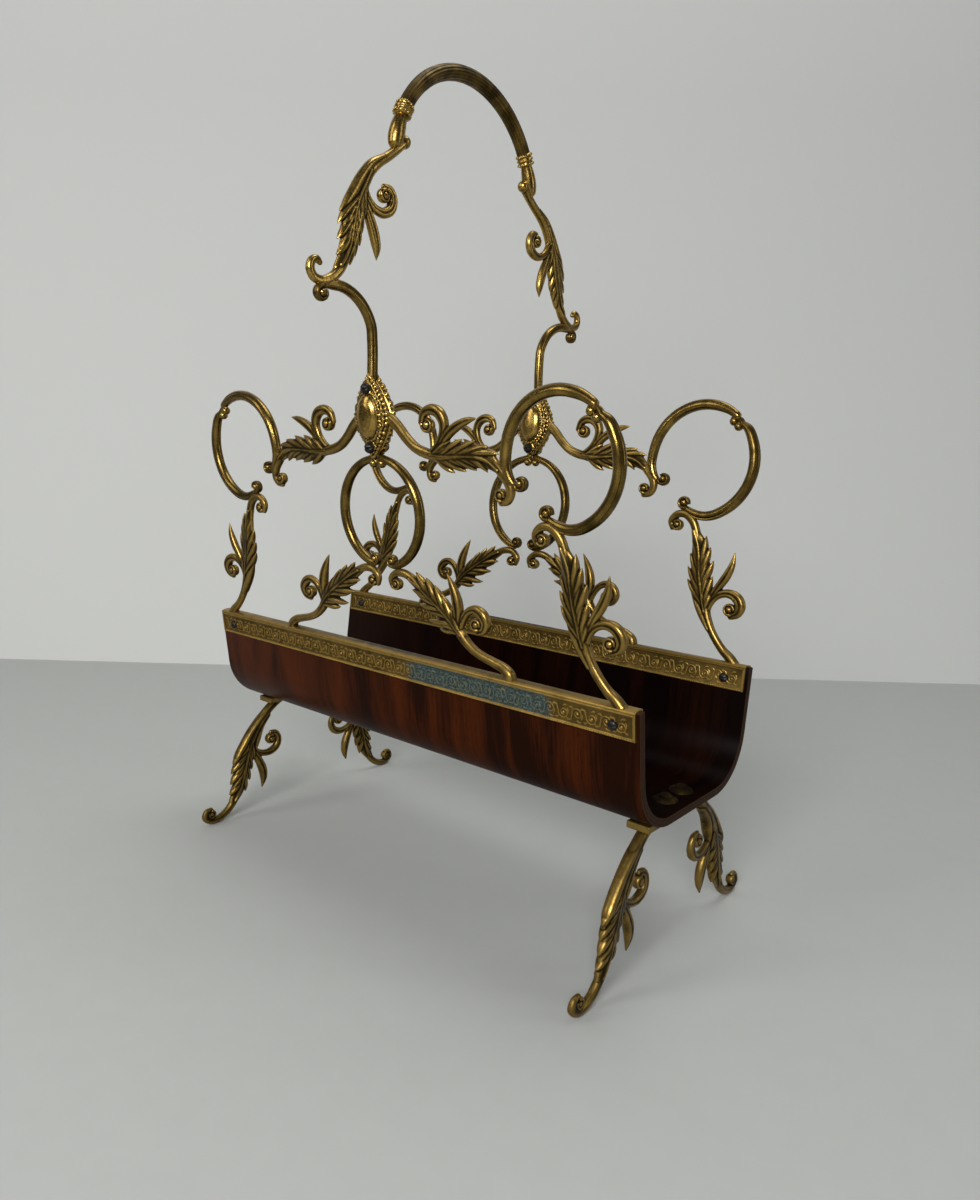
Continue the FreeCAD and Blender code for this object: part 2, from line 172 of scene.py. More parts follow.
def smooth_line(points, step):
    """Stations (place, tangent, width, depth) along a smooth line through (u, v, width[, depth])."""
    knots = [Vector((p[0], p[1], p[2], p[3] if len(p) > 3 else p[2] * 0.96)) for p in points]
    gaps = [(b - a).xy.length for a, b in zip(knots, knots[1:])]
    slopes = [(b - a) / gap for a, b, gap in zip(knots, knots[1:], gaps)]
    turns = [slopes[0]]
    for before, after, gap_before, gap_after in zip(slopes, slopes[1:], gaps, gaps[1:]):
        turns.append((before * gap_after + after * gap_before) / (gap_before + gap_after))
    turns.append(slopes[-1])
    line, finest = [], 0.3
    for i, gap in enumerate(gaps):
        count = max(1, round(gap / step))
        a, b, ma, mb = knots[i], knots[i + 1], turns[i] * gap, turns[i + 1] * gap
        for k in range(count + (i == len(gaps) - 1)):
            t = k / count
            here = (a * (2 * t ** 3 - 3 * t ** 2 + 1) + ma * (t ** 3 - 2 * t ** 2 + t)
                    + b * (3 * t ** 2 - 2 * t ** 3) + mb * (t ** 3 - t ** 2))
            way = (a * (6 * t ** 2 - 6 * t) + ma * (3 * t ** 2 - 4 * t + 1)
                   + b * (6 * t - 6 * t ** 2) + mb * (3 * t ** 2 - 2 * t))
            line.append((Vector((here[0], here[1], 0)), Vector((way[0], way[1], 0)).normalized(),
                         max(here[2], finest), max(here[3], finest)))
    return line


def rounded_ends(line):
    """The same stations with a few shrinking ones past each end."""
    def cap(station, sign):
        """The shrinking stations past one end."""
        place, way, width, depth = station
        return [(place + way * (sign * k * width / 2), way, width * math.sqrt(1 - k * k),
                 depth * math.sqrt(1 - k * k)) for k in (0.5, 0.85)]
    return cap(line[0], -1)[::-1] + line + cap(line[-1], 1)


def plain(c, s):
    """A slightly squared round section."""
    return math.copysign(abs(c) ** 0.9, c), math.copysign(abs(s) ** 0.9, s)


def creased(c, s):
    """A round section with one fine crease along each face."""
    c, s = plain(c, s)
    return c, s * (1 - 0.2 * math.exp(-((c - 0.2) / 0.16) ** 2))


def ringed(c, s):
    """A round section with a bead set off by a groove near its outer edge."""
    c, s = plain(c, s)
    return c, s * (1 - 0.24 * math.exp(-((c + 0.52) / 0.12) ** 2))


def dished(c, s):
    """A scroll or petal section with a hollow down each face between two rolled edges."""
    return c, s * (1 - 0.30 * math.exp(-(c / 0.36) ** 2))


def join(bm, before, edges):
    """Bridge a closed loop of edges to the one before it, or cap it when there is none."""
    if before:
        bmesh.ops.bridge_loops(bm, edges=before + edges)
    else:
        bmesh.ops.contextual_create(bm, geom=edges)
    return edges


def edges_of(verts):
    """The edges that meet these verts, each once and in a fixed order."""
    return list(dict.fromkeys(edge for vert in verts for edge in vert.link_edges))


def loop(bm, around, shape):
    """A closed loop of edges: a circle of verts, each moved to where shape puts its cosine and sine."""
    ring = bmesh.ops.create_circle(bm, segments=around, radius=1.0)["verts"]
    for vert in ring:
        vert.co = shape(vert.co.x, vert.co.y)
    return edges_of(ring)


def skin(bm, line, section=plain, around=20):
    """Bridge a closed skin over the stations of a line."""
    before = None
    for place, way, width, depth in line:
        turn = Matrix(((-way.y, 0, way.x, place.x), (way.x, 0, way.y, place.y), (0, 1, 0, 0), (0, 0, 0, 1)))

        def shape(x, y):
            """A point of the section at this station."""
            c, s = section(x, y)
            return turn @ Vector((c * width / 2, s * depth / 2, 0))

        before = join(bm, before, loop(bm, around, shape))
    join(bm, None, before)


def bar(bm, points, section=plain, step=1.1, around=20):
    """A bar of varying width through (u, v, width[, depth]) points, with round ends."""
    skin(bm, rounded_ends(smooth_line(points, step)), section, around)


def ball(bm, u, v, radius, stretch=1.0):
    """A ball in the plane of the drawing, drawn out across the plane by stretch."""
    place = Matrix.Translation((u, v, 0)) @ Matrix.Diagonal((1, 1, stretch, 1))
    bmesh.ops.create_uvsphere(bm, u_segments=24, v_segments=14, radius=radius, matrix=place)


def volute(bm, centre, radius, start, sweep, width):
    """The end of a scroll: the bar rolls on round a ball, from one angle through a sweep."""
    count = 8
    turns = [start + sweep * k / count for k in range(count + 1)]
    bar(bm, [(*polar(centre, (radius - width / 2) * (1 - 0.02 * k), turn), width * (1 - 0.05 * k),
              5.4 - 0.15 * k) for k, turn in enumerate(turns)], plain, step=0.8, around=14)
    ball(bm, *centre, radius - width * 0.88, 1.3)


def between(line, a, b):
    """The tip of a shorter lobe between two tips, drawn in towards the leaf's spine line."""
    tip = (Vector((*a, 0)) + Vector((*b, 0))) / 2
    nearest = min((place for place, _, _, _ in line), key=lambda place: (place - tip).length)
    return (tip + (nearest - tip) * 0.22).xy


def leaf(bm, spine, lobes, depth=4.6, reach=19.0, lobe_width=4.2):
    """A leaf: a solid blade with a rib along the spine, and long narrow lobes out to its tips."""
    step, crowded = 1.1, 11
    line = smooth_line(spine, step)
    lobes = lobes + [between(line, a, b) for a, b in zip(lobes, lobes[1:]) if math.dist(a, b) < crowded]
    skin(bm, rounded_ends([(p, way, width, depth * 0.82) for p, way, width, _ in line]))
    bar(bm, [(p.x, p.y, 2.2, depth + 1.4) for p, _, _, _ in line[::3]])
    for u, v in lobes:
        tip = Vector((u, v, 0))
        nearest = min(range(len(line)), key=lambda i: (line[i][0] - tip).length)
        spot, way = line[nearest][:2]
        root, root_way = line[max(0, nearest - round(reach / step))][:2]
        out = tip - spot - way * (tip - spot).dot(way)
        out.normalize()
        span = (tip - root).length
        leave = root + (root_way + out * 0.3).normalized() * span * 0.4
        arrive = tip - (way + out * 0.42).normalized() * span * 0.4
        knots = geometry.interpolate_bezier(root, leave, arrive, tip, 8)
        widths = [lobe_width * k for k in (0.4, 0.6, 0.8, 0.95, 1.0, 0.9, 0.6, 0.12)]
        depths = [depth * k for k in (1.1, 1.18, 1.22, 1.2, 1.14, 1.0, 0.75, 0.2)]
        bar(bm, [(p.x, p.y, w, d) for p, w, d in zip(knots, widths, depths)], plain, step=0.8, around=16)


def as_mesh(name, bm):
    """Turn a bmesh into mesh data and free it."""
    mesh = bpy.data.meshes.new(name)
    bm.to_mesh(mesh)
    bm.free()
    return mesh


def pour(bm, other):
    """Add a copy of another bmesh to this one."""
    mesh = as_mesh("poured", other.copy())
    bm.from_mesh(mesh)
    bpy.data.meshes.remove(mesh)


def put_in_scene(name, data):
    """A new object in the scene that shows this data."""
    made = bpy.data.objects.new(name, data)
    bpy.context.scene.collection.objects.link(made)
    return made


def fused(bm, grain=None, rounds=2):
    """Melt overlapping solids into one closed casting with softened corners."""
    melt = put_in_scene("melt", as_mesh("melt", bm))
    remesh = melt.modifiers.new("Remesh", "REMESH")
    remesh.mode = "VOXEL"
    remesh.voxel_size = mm(grain or sizes().grain)
    result = bmesh.new()
    result.from_object(melt, bpy.context.evaluated_depsgraph_get())
    bpy.data.meshes.remove(melt.data)
    soften(result, rounds)
    mark_hollows(result)
    return result


def soften(bm, rounds):
    """Even out the surface by moving each vertex towards its neighbours."""
    for _ in range(rounds):
        bmesh.ops.smooth_vert(bm, verts=bm.verts, factor=0.5, use_axis_x=True, use_axis_y=True,
                              use_axis_z=True)


def mark_hollows(bm, rounds=10):
    """Keep with each vertex how far it lies below its surroundings, in millimetres."""
    hollow = bm.verts.layers.float.new("hollow")
    bm.normal_update()
    before = [(vert.co.copy(), vert.normal.copy()) for vert in bm.verts]
    soften(bm, rounds)
    for vert, (place, normal) in zip(bm.verts, before):
        vert[hollow] = (vert.co - place).dot(normal)
        vert.co = place


def stretch(bm, section, run):
    """Extrude the faces and edges of a section along the rack."""
    grown = bmesh.ops.extrude_face_region(bm, geom=section)["geom"]
    bmesh.ops.translate(bm, verts=[g for g in grown if isinstance(g, bmesh.types.BMVert)],
                        vec=(run, 0, 0))


def settle(name, bm, place, materials, nodes, crease=None):
    """Put a finished mesh where it belongs, as one closed piece that stands for its CAD nodes."""
    bm.transform(place)
    if place.determinant() < 0:
        bmesh.ops.reverse_faces(bm, faces=bm.faces)
    mesh = as_mesh(name, bm)
    for finish in materials:
        mesh.materials.append(finish)
    mesh.shade_smooth()
    if crease:
        mesh.set_sharp_from_angle(angle=math.radians(crease))
    piece = put_in_scene(name, mesh)
    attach(piece, "root")
    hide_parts(*nodes)
    return piece


def settle_copies(bm, place, node, ends, finish="cast_brass", crease=None):
    """Settle one drawing on both sides of the rack, and at both ends when ends is true."""
    for side, across in SIDES:
        for end, along in (ENDS if ends else ((None, 1),)):
            name = "_".join(part for part in (side, end, node) if part)
            settle(name + "_visual", bm.copy(), mirror(along, across) @ place, [material(finish)],
                   [name], crease)
    bm.free()


# ---- Materials ----

def wire(tree, out_socket, in_socket):
    """Link two sockets."""
    tree.links.new(out_socket, in_socket)


def add(tree, kind, **settings):
    """A node with some of its own settings made."""
    node = tree.nodes.new(kind)
    for key, value in settings.items():
        setattr(node, key, value)
    return node


def ramp(tree, source, stops):
    """A colour ramp fed by a value, with (position, grey or colour) stops."""
    node = tree.nodes.new("ShaderNodeValToRGB")
    for position, _ in stops[2:]:
        node.color_ramp.elements.new(position)
    for element, (position, tone) in zip(node.color_ramp.elements, sorted(stops)):
        element.position = position
        element.color = (*tone, 1) if hasattr(tone, "__len__") else (tone, tone, tone, 1)
    wire(tree, source, node.inputs["Fac"])
    return node.outputs["Color"]


def blend(tree, factor, low, high):
    """A colour mix; low and high are sockets or linear colours."""
    node = tree.nodes.new("ShaderNodeMix")
    node.data_type = "RGBA"
    wire(tree, factor, node.inputs["Factor"])
    for name, value in (("A", low), ("B", high)):
        socket = [s for s in node.inputs if s.name == name and s.type == "RGBA"][0]
        if isinstance(value, bpy.types.NodeSocket):
            wire(tree, value, socket)
        else:
            socket.default_value = (*value, 1)
    return [s for s in node.outputs if s.type == "RGBA"][0]


def calc(tree, operation, first, second, third=None):
    """A maths node; each input is a socket or a number."""
    node = tree.nodes.new("ShaderNodeMath")
    node.operation = operation
    for socket, value in zip(node.inputs, (first, second, third)):
        if isinstance(value, bpy.types.NodeSocket):
            wire(tree, value, socket)
        elif value is not None:
            socket.default_value = value
    return node.outputs[0]


def limited(tree, value):
    """A value kept between 0 and 1."""
    node = tree.nodes.new("ShaderNodeClamp")
    wire(tree, value, node.inputs["Value"])
    return node.outputs[0]


def object_place(tree):
    """Object coordinates, whole and split into x, y and z."""
    where = tree.nodes.new("ShaderNodeTexCoord").outputs["Object"]
    split = tree.nodes.new("ShaderNodeSeparateXYZ")
    wire(tree, where, split.inputs[0])
    return where, split.outputs["X"], split.outputs["Y"], split.outputs["Z"]


def feed(tree, shader, values):
    """Give inputs their values: a socket is linked, anything else is set on the input itself."""
    for name, value in values.items():
        if isinstance(value, bpy.types.NodeSocket):
            wire(tree, value, shader.inputs[name])
        else:
            shader.inputs[name].default_value = value


def bumped(tree, shader, height, strength, distance):
    """Raise the shader's surface by a height."""
    bump = tree.nodes.new("ShaderNodeBump")
    feed(tree, bump, {"Height": height, "Strength": strength, "Distance": distance})
    wire(tree, bump.outputs["Normal"], shader.inputs["Normal"])


def noise(tree, vector, scale, detail=4.0, roughness=0.6, distortion=0.0):
    """Noise value over a vector."""
    node = tree.nodes.new("ShaderNodeTexNoise")
    feed(tree, node, {"Vector": vector, "Scale": scale, "Detail": detail, "Roughness": roughness,
                      "Distortion": distortion})
    return node.outputs["Fac"]


def group(name, inputs, outputs):
    """An empty node group with these sockets, or the one already built; returns (tree, is_new)."""
    if name in bpy.data.node_groups:
        return bpy.data.node_groups[name], False
    tree = bpy.data.node_groups.new(name, "ShaderNodeTree")
    for label, kind, default in inputs:
        socket = tree.interface.new_socket(label, in_out="INPUT", socket_type="NodeSocket" + kind)
        socket.default_value = default
    for label, kind in outputs:
        tree.interface.new_socket(label, in_out="OUTPUT", socket_type="NodeSocket" + kind)
    return tree, True


def cavity_group():
    """Masks for hollows, darkened as patina and painted shade, and for rubbed edges, from the stored hollows
    and how sharply the surface turns.
    """
    tree, new = group("Cavity", [("Depth", "Float", 0.085), ("Sharpness", "Float", 7.0)],
                      [("Hollow", "Float"), ("Rubbed", "Float")])
    if new:
        ins, outs = tree.nodes.new("NodeGroupInput"), tree.nodes.new("NodeGroupOutput")
        stored = add(tree, "ShaderNodeAttribute", attribute_name="hollow").outputs["Fac"]
        deep = calc(tree, "DIVIDE", stored, ins.outputs["Depth"])
        turn = calc(tree, "SUBTRACT", 0.5, tree.nodes.new("ShaderNodeNewGeometry").outputs["Pointiness"])
        below = calc(tree, "MULTIPLY_ADD", turn, ins.outputs["Sharpness"], deep)
        wire(tree, limited(tree, below), outs.inputs["Hollow"])
        wire(tree, limited(tree, calc(tree, "MULTIPLY", below, -1.0)), outs.inputs["Rubbed"])
    return tree


def tarnish_group():
    """Blotches and fine specks of tarnish."""
    tree, new = group("Tarnish", [("Blotch Scale", "Float", 90.0), ("Speck Scale", "Float", 900.0)],
                      [("Blotch", "Float"), ("Speck", "Float")])
    if new:
        ins, outs = tree.nodes.new("NodeGroupInput"), tree.nodes.new("NodeGroupOutput")
        where = tree.nodes.new("ShaderNodeTexCoord").outputs["Object"]
        for label, detail in (("Blotch", 5.0), ("Speck", 3.0)):
            node = tree.nodes.new("ShaderNodeTexNoise")
            feed(tree, node, {"Vector": where, "Scale": ins.outputs[label + " Scale"], "Detail": detail,
                              "Roughness": 0.62})
            wire(tree, node.outputs["Fac"], outs.inputs[label])
    return tree


def place_group(tree, nodes):
    """A node that holds a shared node group."""
    node = tree.nodes.new("ShaderNodeGroup")
    node.node_tree = nodes
    return node


def start_material(name):
    """A new material, its tree and its shader."""
    made = bpy.data.materials.new(name)
    made.use_nodes = True
    tree = made.node_tree
    return made, tree, tree.nodes["Principled BSDF"]


def brass(name, dull, patina, roughness, stained=False):
    """Cast brass: rubbed high places, tarnish, patina in blotches, and patina with painted shade in hollows.
    """
    made, tree, shader = start_material(name)
    tones = finishes()
    cavity = place_group(tree, cavity_group())
    tarnish = place_group(tree, tarnish_group())
    blotch = ramp(tree, tarnish.outputs["Blotch"], [(0.36, 0.0), (0.68, 1.0)])
    dulled = calc(tree, "MULTIPLY_ADD", blotch, 0.5, dull - 0.25)
    rubbed = calc(tree, "MULTIPLY", cavity.outputs["Rubbed"], 1.1)
    dulled = limited(tree, calc(tree, "SUBTRACT", dulled, rubbed))
    skin_colour = blend(tree, dulled, tones.brass, tones.brass_mid)
    speck = ramp(tree, tarnish.outputs["Speck"], [(0.50, 0.0), (0.72, 0.6)])
    # Patina with painted shade: the hollows, and the tarnish specks, darken towards the brown patina.
    tarnish_and_shade = calc(tree, "MAXIMUM", cavity.outputs["Hollow"], speck)
    tarnish_and_shade = calc(tree, "MAXIMUM", tarnish_and_shade, calc(tree, "MULTIPLY_ADD", blotch, 0.3, patina - 0.15))
    skin_colour = blend(tree, limited(tree, tarnish_and_shade), skin_colour, tones.brass_dark)
    rough = calc(tree, "MULTIPLY_ADD", tarnish_and_shade, 0.28, calc(tree, "MULTIPLY_ADD", blotch, 0.1, roughness))
    metal = calc(tree, "MULTIPLY_ADD", tarnish_and_shade, -0.35, 1.0)
    if stained:
        crust, slate, soiled = rail_stains(tree)
        grains = noise(tree, object_place(tree)[0], 1500.0, 3.0, 0.75)
        grains = calc(tree, "MULTIPLY_ADD", cavity.outputs["Rubbed"], 0.1, grains)
        grains = ramp(tree, grains, [(0.48, 0.0), (0.58, 1.0)])
        verdigris = blend(tree, grains, tones.verdigris, tones.verdigris_pale)
        for mask, stain in ((soiled, tones.brass_dark), (slate, tones.slate), (crust, verdigris)):
            skin_colour = blend(tree, mask, skin_colour, stain)
        covered = calc(tree, "MAXIMUM", crust, slate)
        rough = calc(tree, "MULTIPLY_ADD", covered, 0.3, rough)
        metal = calc(tree, "MULTIPLY_ADD", covered, -0.75, metal)
    feed(tree, shader, {"Base Color": skin_colour, "Roughness": rough, "Metallic": limited(tree, metal),
                        "Specular IOR Level": 0.15})
    bumped(tree, shader, calc(tree, "ADD", tarnish.outputs["Speck"], blotch), 0.35, 0.00012)
    return made


def rise(tree, source, near, far):
    """A mask that goes smoothly from 0 at near to 1 at far."""
    node = add(tree, "ShaderNodeMapRange", interpolation_type="SMOOTHSTEP")
    feed(tree, node, {"Value": source, "From Min": near, "From Max": far})
    return node.outputs[0]


def all_of(tree, first, *others):
    """Where all the masks hold."""
    for other in others:
        first = calc(tree, "MULTIPLY", first, other)
    return first


def rail_stains(tree):
    """Masks on the front rail: verdigris on its outer band, a slate stain and a duller skin on its top."""
    where, along, across, up = object_place(tree)
    low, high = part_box("front_rail")
    ragged = calc(tree, "MULTIPLY_ADD", noise(tree, where, 130.0, 4.0, 0.7), 0.03, along)
    worn = ramp(tree, noise(tree, where, 420.0, 5.0, 0.7), [(0.34, 0.0), (0.50, 0.92)])
    crust = all_of(tree, rise(tree, ragged, 0.030, 0.042), rise(tree, ragged, 0.140, 0.134),
                   rise(tree, across, low.y + 0.0037, low.y + 0.0022),
                   rise(tree, up, high.z - 0.0022, high.z - 0.0042),
                   rise(tree, up, low.z + 0.0008, low.z + 0.0022))
    crust = calc(tree, "MULTIPLY", crust, calc(tree, "MULTIPLY_ADD", worn, 0.45, 0.5))
    top = rise(tree, up, high.z - 0.0010, high.z - 0.0004)
    slate = all_of(tree, top, worn, rise(tree, ragged, -0.028, -0.002), rise(tree, ragged, 0.062, 0.036),
                   rise(tree, across, low.y + 0.0020, low.y + 0.0034))
    soiled = all_of(tree, top, rise(tree, ragged, -0.16, -0.06), rise(tree, ragged, 0.2, 0.12))
    return crust, slate, calc(tree, "MULTIPLY", soiled, 0.55)


def veneer_map(tree, along=None, around=None):
    """The veneer's own map, or that map scaled along the trough and round it."""
    place = tree.nodes.new("ShaderNodeUVMap")
    place.uv_map = "veneer"
    if along is None:
        return place.outputs["UV"]
    node = tree.nodes.new("ShaderNodeMapping")
    feed(tree, node, {"Scale": (along, around, 1), "Vector": place.outputs["UV"]})
    return node.outputs["Vector"]


def mahogany(name, share=1.0):
    """Figured mahogany veneer under satin varnish. U runs along the trough and V round it."""
    made, tree, shader = start_material(name)
    tones = finishes()
    light, dark = ([c * share for c in tone] for tone in (tones.mahogany, tones.mahogany_dark))
    figure = noise(tree, veneer_map(tree, 46, 7), 1.0, 3.0, 0.55, 0.8)
    streak = noise(tree, veneer_map(tree, 520, 20), 1.0, 4.0, 0.6, 0.2)
    pores = noise(tree, veneer_map(tree, 2400, 130), 1.0, 2.0, 0.5)
    tone = calc(tree, "MULTIPLY_ADD", streak, 0.45, calc(tree, "MULTIPLY", figure, 0.85))
    # Painted shade: the veneer darkens towards the trough's +x end.
    split = tree.nodes.new("ShaderNodeSeparateXYZ")
    wire(tree, veneer_map(tree), split.inputs[0])
    tone = calc(tree, "MULTIPLY_ADD", split.outputs["X"], -0.75, calc(tree, "SUBTRACT", tone, 0.03))
    body = blend(tree, ramp(tree, tone, [(0.50, 0.0), (0.80, 1.0)]), dark, light)
    pitted = ramp(tree, pores, [(0.58, 0.0), (0.70, 0.7)])
    body = blend(tree, pitted, body, [c * 0.35 for c in dark])
    feed(tree, shader, {"Base Color": body, "Roughness": calc(tree, "MULTIPLY_ADD", streak, 0.2, 0.3),
                        "Specular IOR Level": 0.03})
    bumped(tree, shader, calc(tree, "SUBTRACT", streak, pitted), 0.25, 0.0001)
    return made


def ply_edge(name):
    """Cut edge of the plywood: V runs through the thickness, in plies of turning grain."""
    made, tree, shader = start_material(name)
    tones = finishes()
    plies = 5
    split = tree.nodes.new("ShaderNodeSeparateXYZ")
    wire(tree, veneer_map(tree), split.inputs[0])
    layer = calc(tree, "MULTIPLY", split.outputs["Y"], plies / sizes().ply)
    glue = calc(tree, "ABSOLUTE", calc(tree, "SUBTRACT", calc(tree, "FRACT", layer, 0), 0.5), 0)
    line = ramp(tree, glue, [(0.40, 0.0), (0.49, 1.0)])
    turned = calc(tree, "MODULO", calc(tree, "FLOOR", layer, 0), 2.0)
    fibre = noise(tree, veneer_map(tree, 500, 2600), 1.0, 4.0, 0.65)
    pale = blend(tree, turned, tones.ply_edge, [c * 0.62 for c in tones.ply_edge])
    body = blend(tree, ramp(tree, fibre, [(0.35, 0.0), (0.7, 0.75)]), pale, tones.mahogany_dark)
    body = blend(tree, line, body, tones.mahogany_dark)
    feed(tree, shader, {"Base Color": body, "Roughness": calc(tree, "MULTIPLY_ADD", fibre, 0.25, 0.45),
                        "Specular IOR Level": 0.06})
    bumped(tree, shader, calc(tree, "SUBTRACT", fibre, line), 0.4, 0.0001)
    return made


def black_steel(name):
    """Blackened screw heads, worn a little brighter on their crowns."""
    made, tree, shader = start_material(name)
    tarnish = place_group(tree, tarnish_group())
    cavity = place_group(tree, cavity_group())
    worn = calc(tree, "MULTIPLY", cavity.outputs["Rubbed"], tarnish.outputs["Blotch"])
    feed(tree, shader, {"Base Color": blend(tree, worn, finishes().steel, finishes().worn_steel),
                        "Roughness": calc(tree, "MULTIPLY_ADD", tarnish.outputs["Speck"], 0.3, 0.22),
                        "Metallic": 0.7})
    bumped(tree, shader, tarnish.outputs["Speck"], 0.4, 0.0001)
    return made


def matt_mottle(tree, shader):
    """A matt surface with a fine mottle, which is returned as a mask."""
    mottle = ramp(tree, noise(tree, object_place(tree)[0], 60.0, 6.0, 0.65), [(0.3, 0.0), (0.7, 1.0)])
    wire(tree, calc(tree, "MULTIPLY_ADD", mottle, 0.05, 0.85), shader.inputs["Roughness"])
    return mottle


def floor_paint(name):
    """Pale matt floor, faintly mottled."""
    made, tree, shader = start_material(name)
    tone = finishes().floor
    body = blend(tree, matt_mottle(tree, shader), [c * 0.985 for c in tone], [c * 1.015 for c in tone])
    wire(tree, body, shader.inputs["Base Color"])
    return made


def wall_paint(name):
    """Pale matt wall, lighter low down and darker higher up as painted light and shade, that can be looked
    through from behind.
    """
    made, tree, shader = start_material(name)
    tone = finishes().wall
    matt_mottle(tree, shader)
    # Painted light and shade: 1.1 times the wall's tone at the floor, down to 0.86 times from about 0.67 m
    # up.
    height = ramp(tree, calc(tree, "MULTIPLY", object_place(tree)[3], 1.5), [(0.0, 0.0), (1.0, 1.0)])
    wire(tree, blend(tree, height, [c * 1.1 for c in tone], [c * 0.86 for c in tone]),
         shader.inputs["Base Color"])
    mix = tree.nodes.new("ShaderNodeMixShader")
    wire(tree, tree.nodes.new("ShaderNodeNewGeometry").outputs["Backfacing"], mix.inputs["Fac"])
    wire(tree, shader.outputs[0], mix.inputs[1])
    wire(tree, tree.nodes.new("ShaderNodeBsdfTransparent").outputs[0], mix.inputs[2])
    wire(tree, mix.outputs[0], tree.nodes["Material Output"].inputs["Surface"])
    return made


BRASSES = {  # dullness, patina, roughness and whether the front rail's stains show
    "cast_brass": (0.96, 0.4, 0.19),
    "leg_brass": (1.08, 0.5, 0.22),
    "ring_brass": (0.68, 0.1, 0.18),
    "rubbed_brass": (0.3, 0.0, 0.2),
    "rail_brass": (0.62, 0.22, 0.36, True),
    "grip_brass": (0.85, 0.34, 0.26),
    "washer_brass": (1.1, 0.95, 0.5),
}
VENEERS = {"veneer": 1.0, "veneer_inside_painted_shade": 0.2}  # share of the veneer's colour; the inside gets less, as painted shade


def material(name):
    """A finish by name, made once."""
    if name in bpy.data.materials:
        return bpy.data.materials[name]
    if name in BRASSES:
        return brass(name, *BRASSES[name])
    if name in VENEERS:
        return mahogany(name, VENEERS[name])
    return {"ply_edge": ply_edge, "black_steel": black_steel, "floor_paint": floor_paint,
            "wall_paint": wall_paint}[name](name)


# ---- Castings ----

def outer_stem():
    """Stem at the rail's end, with its leaf, side scroll and petal, that holds up the end ring."""
    bm = bmesh.new()
    bar(bm, [(165.4, -1.5, 7.4, 6.6), (162.8, 1.8, 6.2), (157.8, 5.8, 5.3), (152.6, 11.4, 5),
             (148.2, 17.6, 5.2), (145, 24, 5.6), (142.8, 31, 5.6), (140.4, 38, 4.4, 6),
             (138.2, 46, 3.2, 6.2), (136.3, 56, 3, 6), (134.6, 66, 3.4, 5.8), (132, 75, 5), (128, 82.4, 5.2),
             (122.5, 85.8, 5), (116.8, 84.6, 4.6), (113.9, 80.4, 4), (115.2, 76.6, 3.4)], creased)
    leaf(bm, [(143.6, 27, 6), (140.4, 38, 11), (138, 48, 12.5), (136.6, 58, 12.5), (135, 67, 10),
              (131, 76, 5)],
         [(129.2, 46.3), (128.6, 54), (129.1, 62), (129.6, 70), (146, 41), (145.8, 49.5), (145.3, 59),
          (142.4, 67), (138.8, 73.6)])
    bar(bm, [(147, 17, 3, 5.6), (142, 25, 5, 5.8), (137.8, 31.6, 4.4, 5), (132.8, 38.6, 0.8, 1.4)])
    bar(bm, [(143.5, 26, 5), (146, 33, 4.4), (150.6, 38.3, 4.6), (156.8, 40.4, 5.4), (162.8, 38.4, 6.6),
             (165.6, 33.6, 6.4), (163.8, 28.6, 5), (160, 26.8, 3.8)], dished)
    bar(bm, [(145.4, 35, 4), (150, 43, 5), (154.6, 50.5, 5.4), (157.4, 57.5, 4), (158.4, 65, 0.8)], dished)
    volute(bm, (159.2, 31), 4.5, -78, -290, 2.4)
    volute(bm, (118.7, 78.9), 4.1, 214, 290, 2.2)
    return bm


def inner_stem():
    """Stem along the rail, with its leaf, side scroll and petal, that curls up under the middle ring."""
    bm = bmesh.new()
    bar(bm, [(95, -1.5, 7.6, 6.6), (94.4, 2, 6.6), (90.6, 5, 5.8), (84, 7, 5.2), (76, 9, 5),
             (68.4, 12.2, 5.2),
             (62.2, 17, 5.6), (57.4, 22.6, 6), (52, 28, 4.6, 6), (45.5, 33, 3.2, 6.2), (38, 38.3, 3, 6),
             (30.5, 43.2, 3.4, 5.8), (23, 47.2, 4.8), (16, 49.4, 5), (9.6, 48.6, 4.6), (5.6, 44.6, 4.2),
             (6.6, 40.4, 3.4)], creased)
    leaf(bm, [(61, 19, 6), (52, 28, 10), (45, 33, 12.5), (37, 38.6, 11.5), (29, 43.6, 8), (22, 47, 5)],
         [(51.6, 35), (46.8, 40.4), (41, 45.4), (34.5, 49), (26.5, 51.4), (43.5, 20.4), (35.4, 24.2),
          (28.4, 32.6), (22.5, 40.4)])
    bar(bm, [(58.5, 21, 5), (61.8, 28, 4.4), (66, 33.4, 4.6), (71.4, 35.4, 5.2), (76.4, 33.2, 6.4),
             (78.8, 28.6, 6), (76.6, 24, 4.8), (72.8, 22.6, 3.8)], dished)
    bar(bm, [(57.5, 24, 4.5), (58.6, 31, 6.2), (57.6, 39, 6.4), (54.8, 46.5, 4.4), (50.8, 53.6, 0.8)], dished)
    volute(bm, (72.2, 27), 4.4, -80, -290, 2.4)
    volute(bm, (10.3, 42.4), 4.1, 204, 290, 2.2)
    return bm


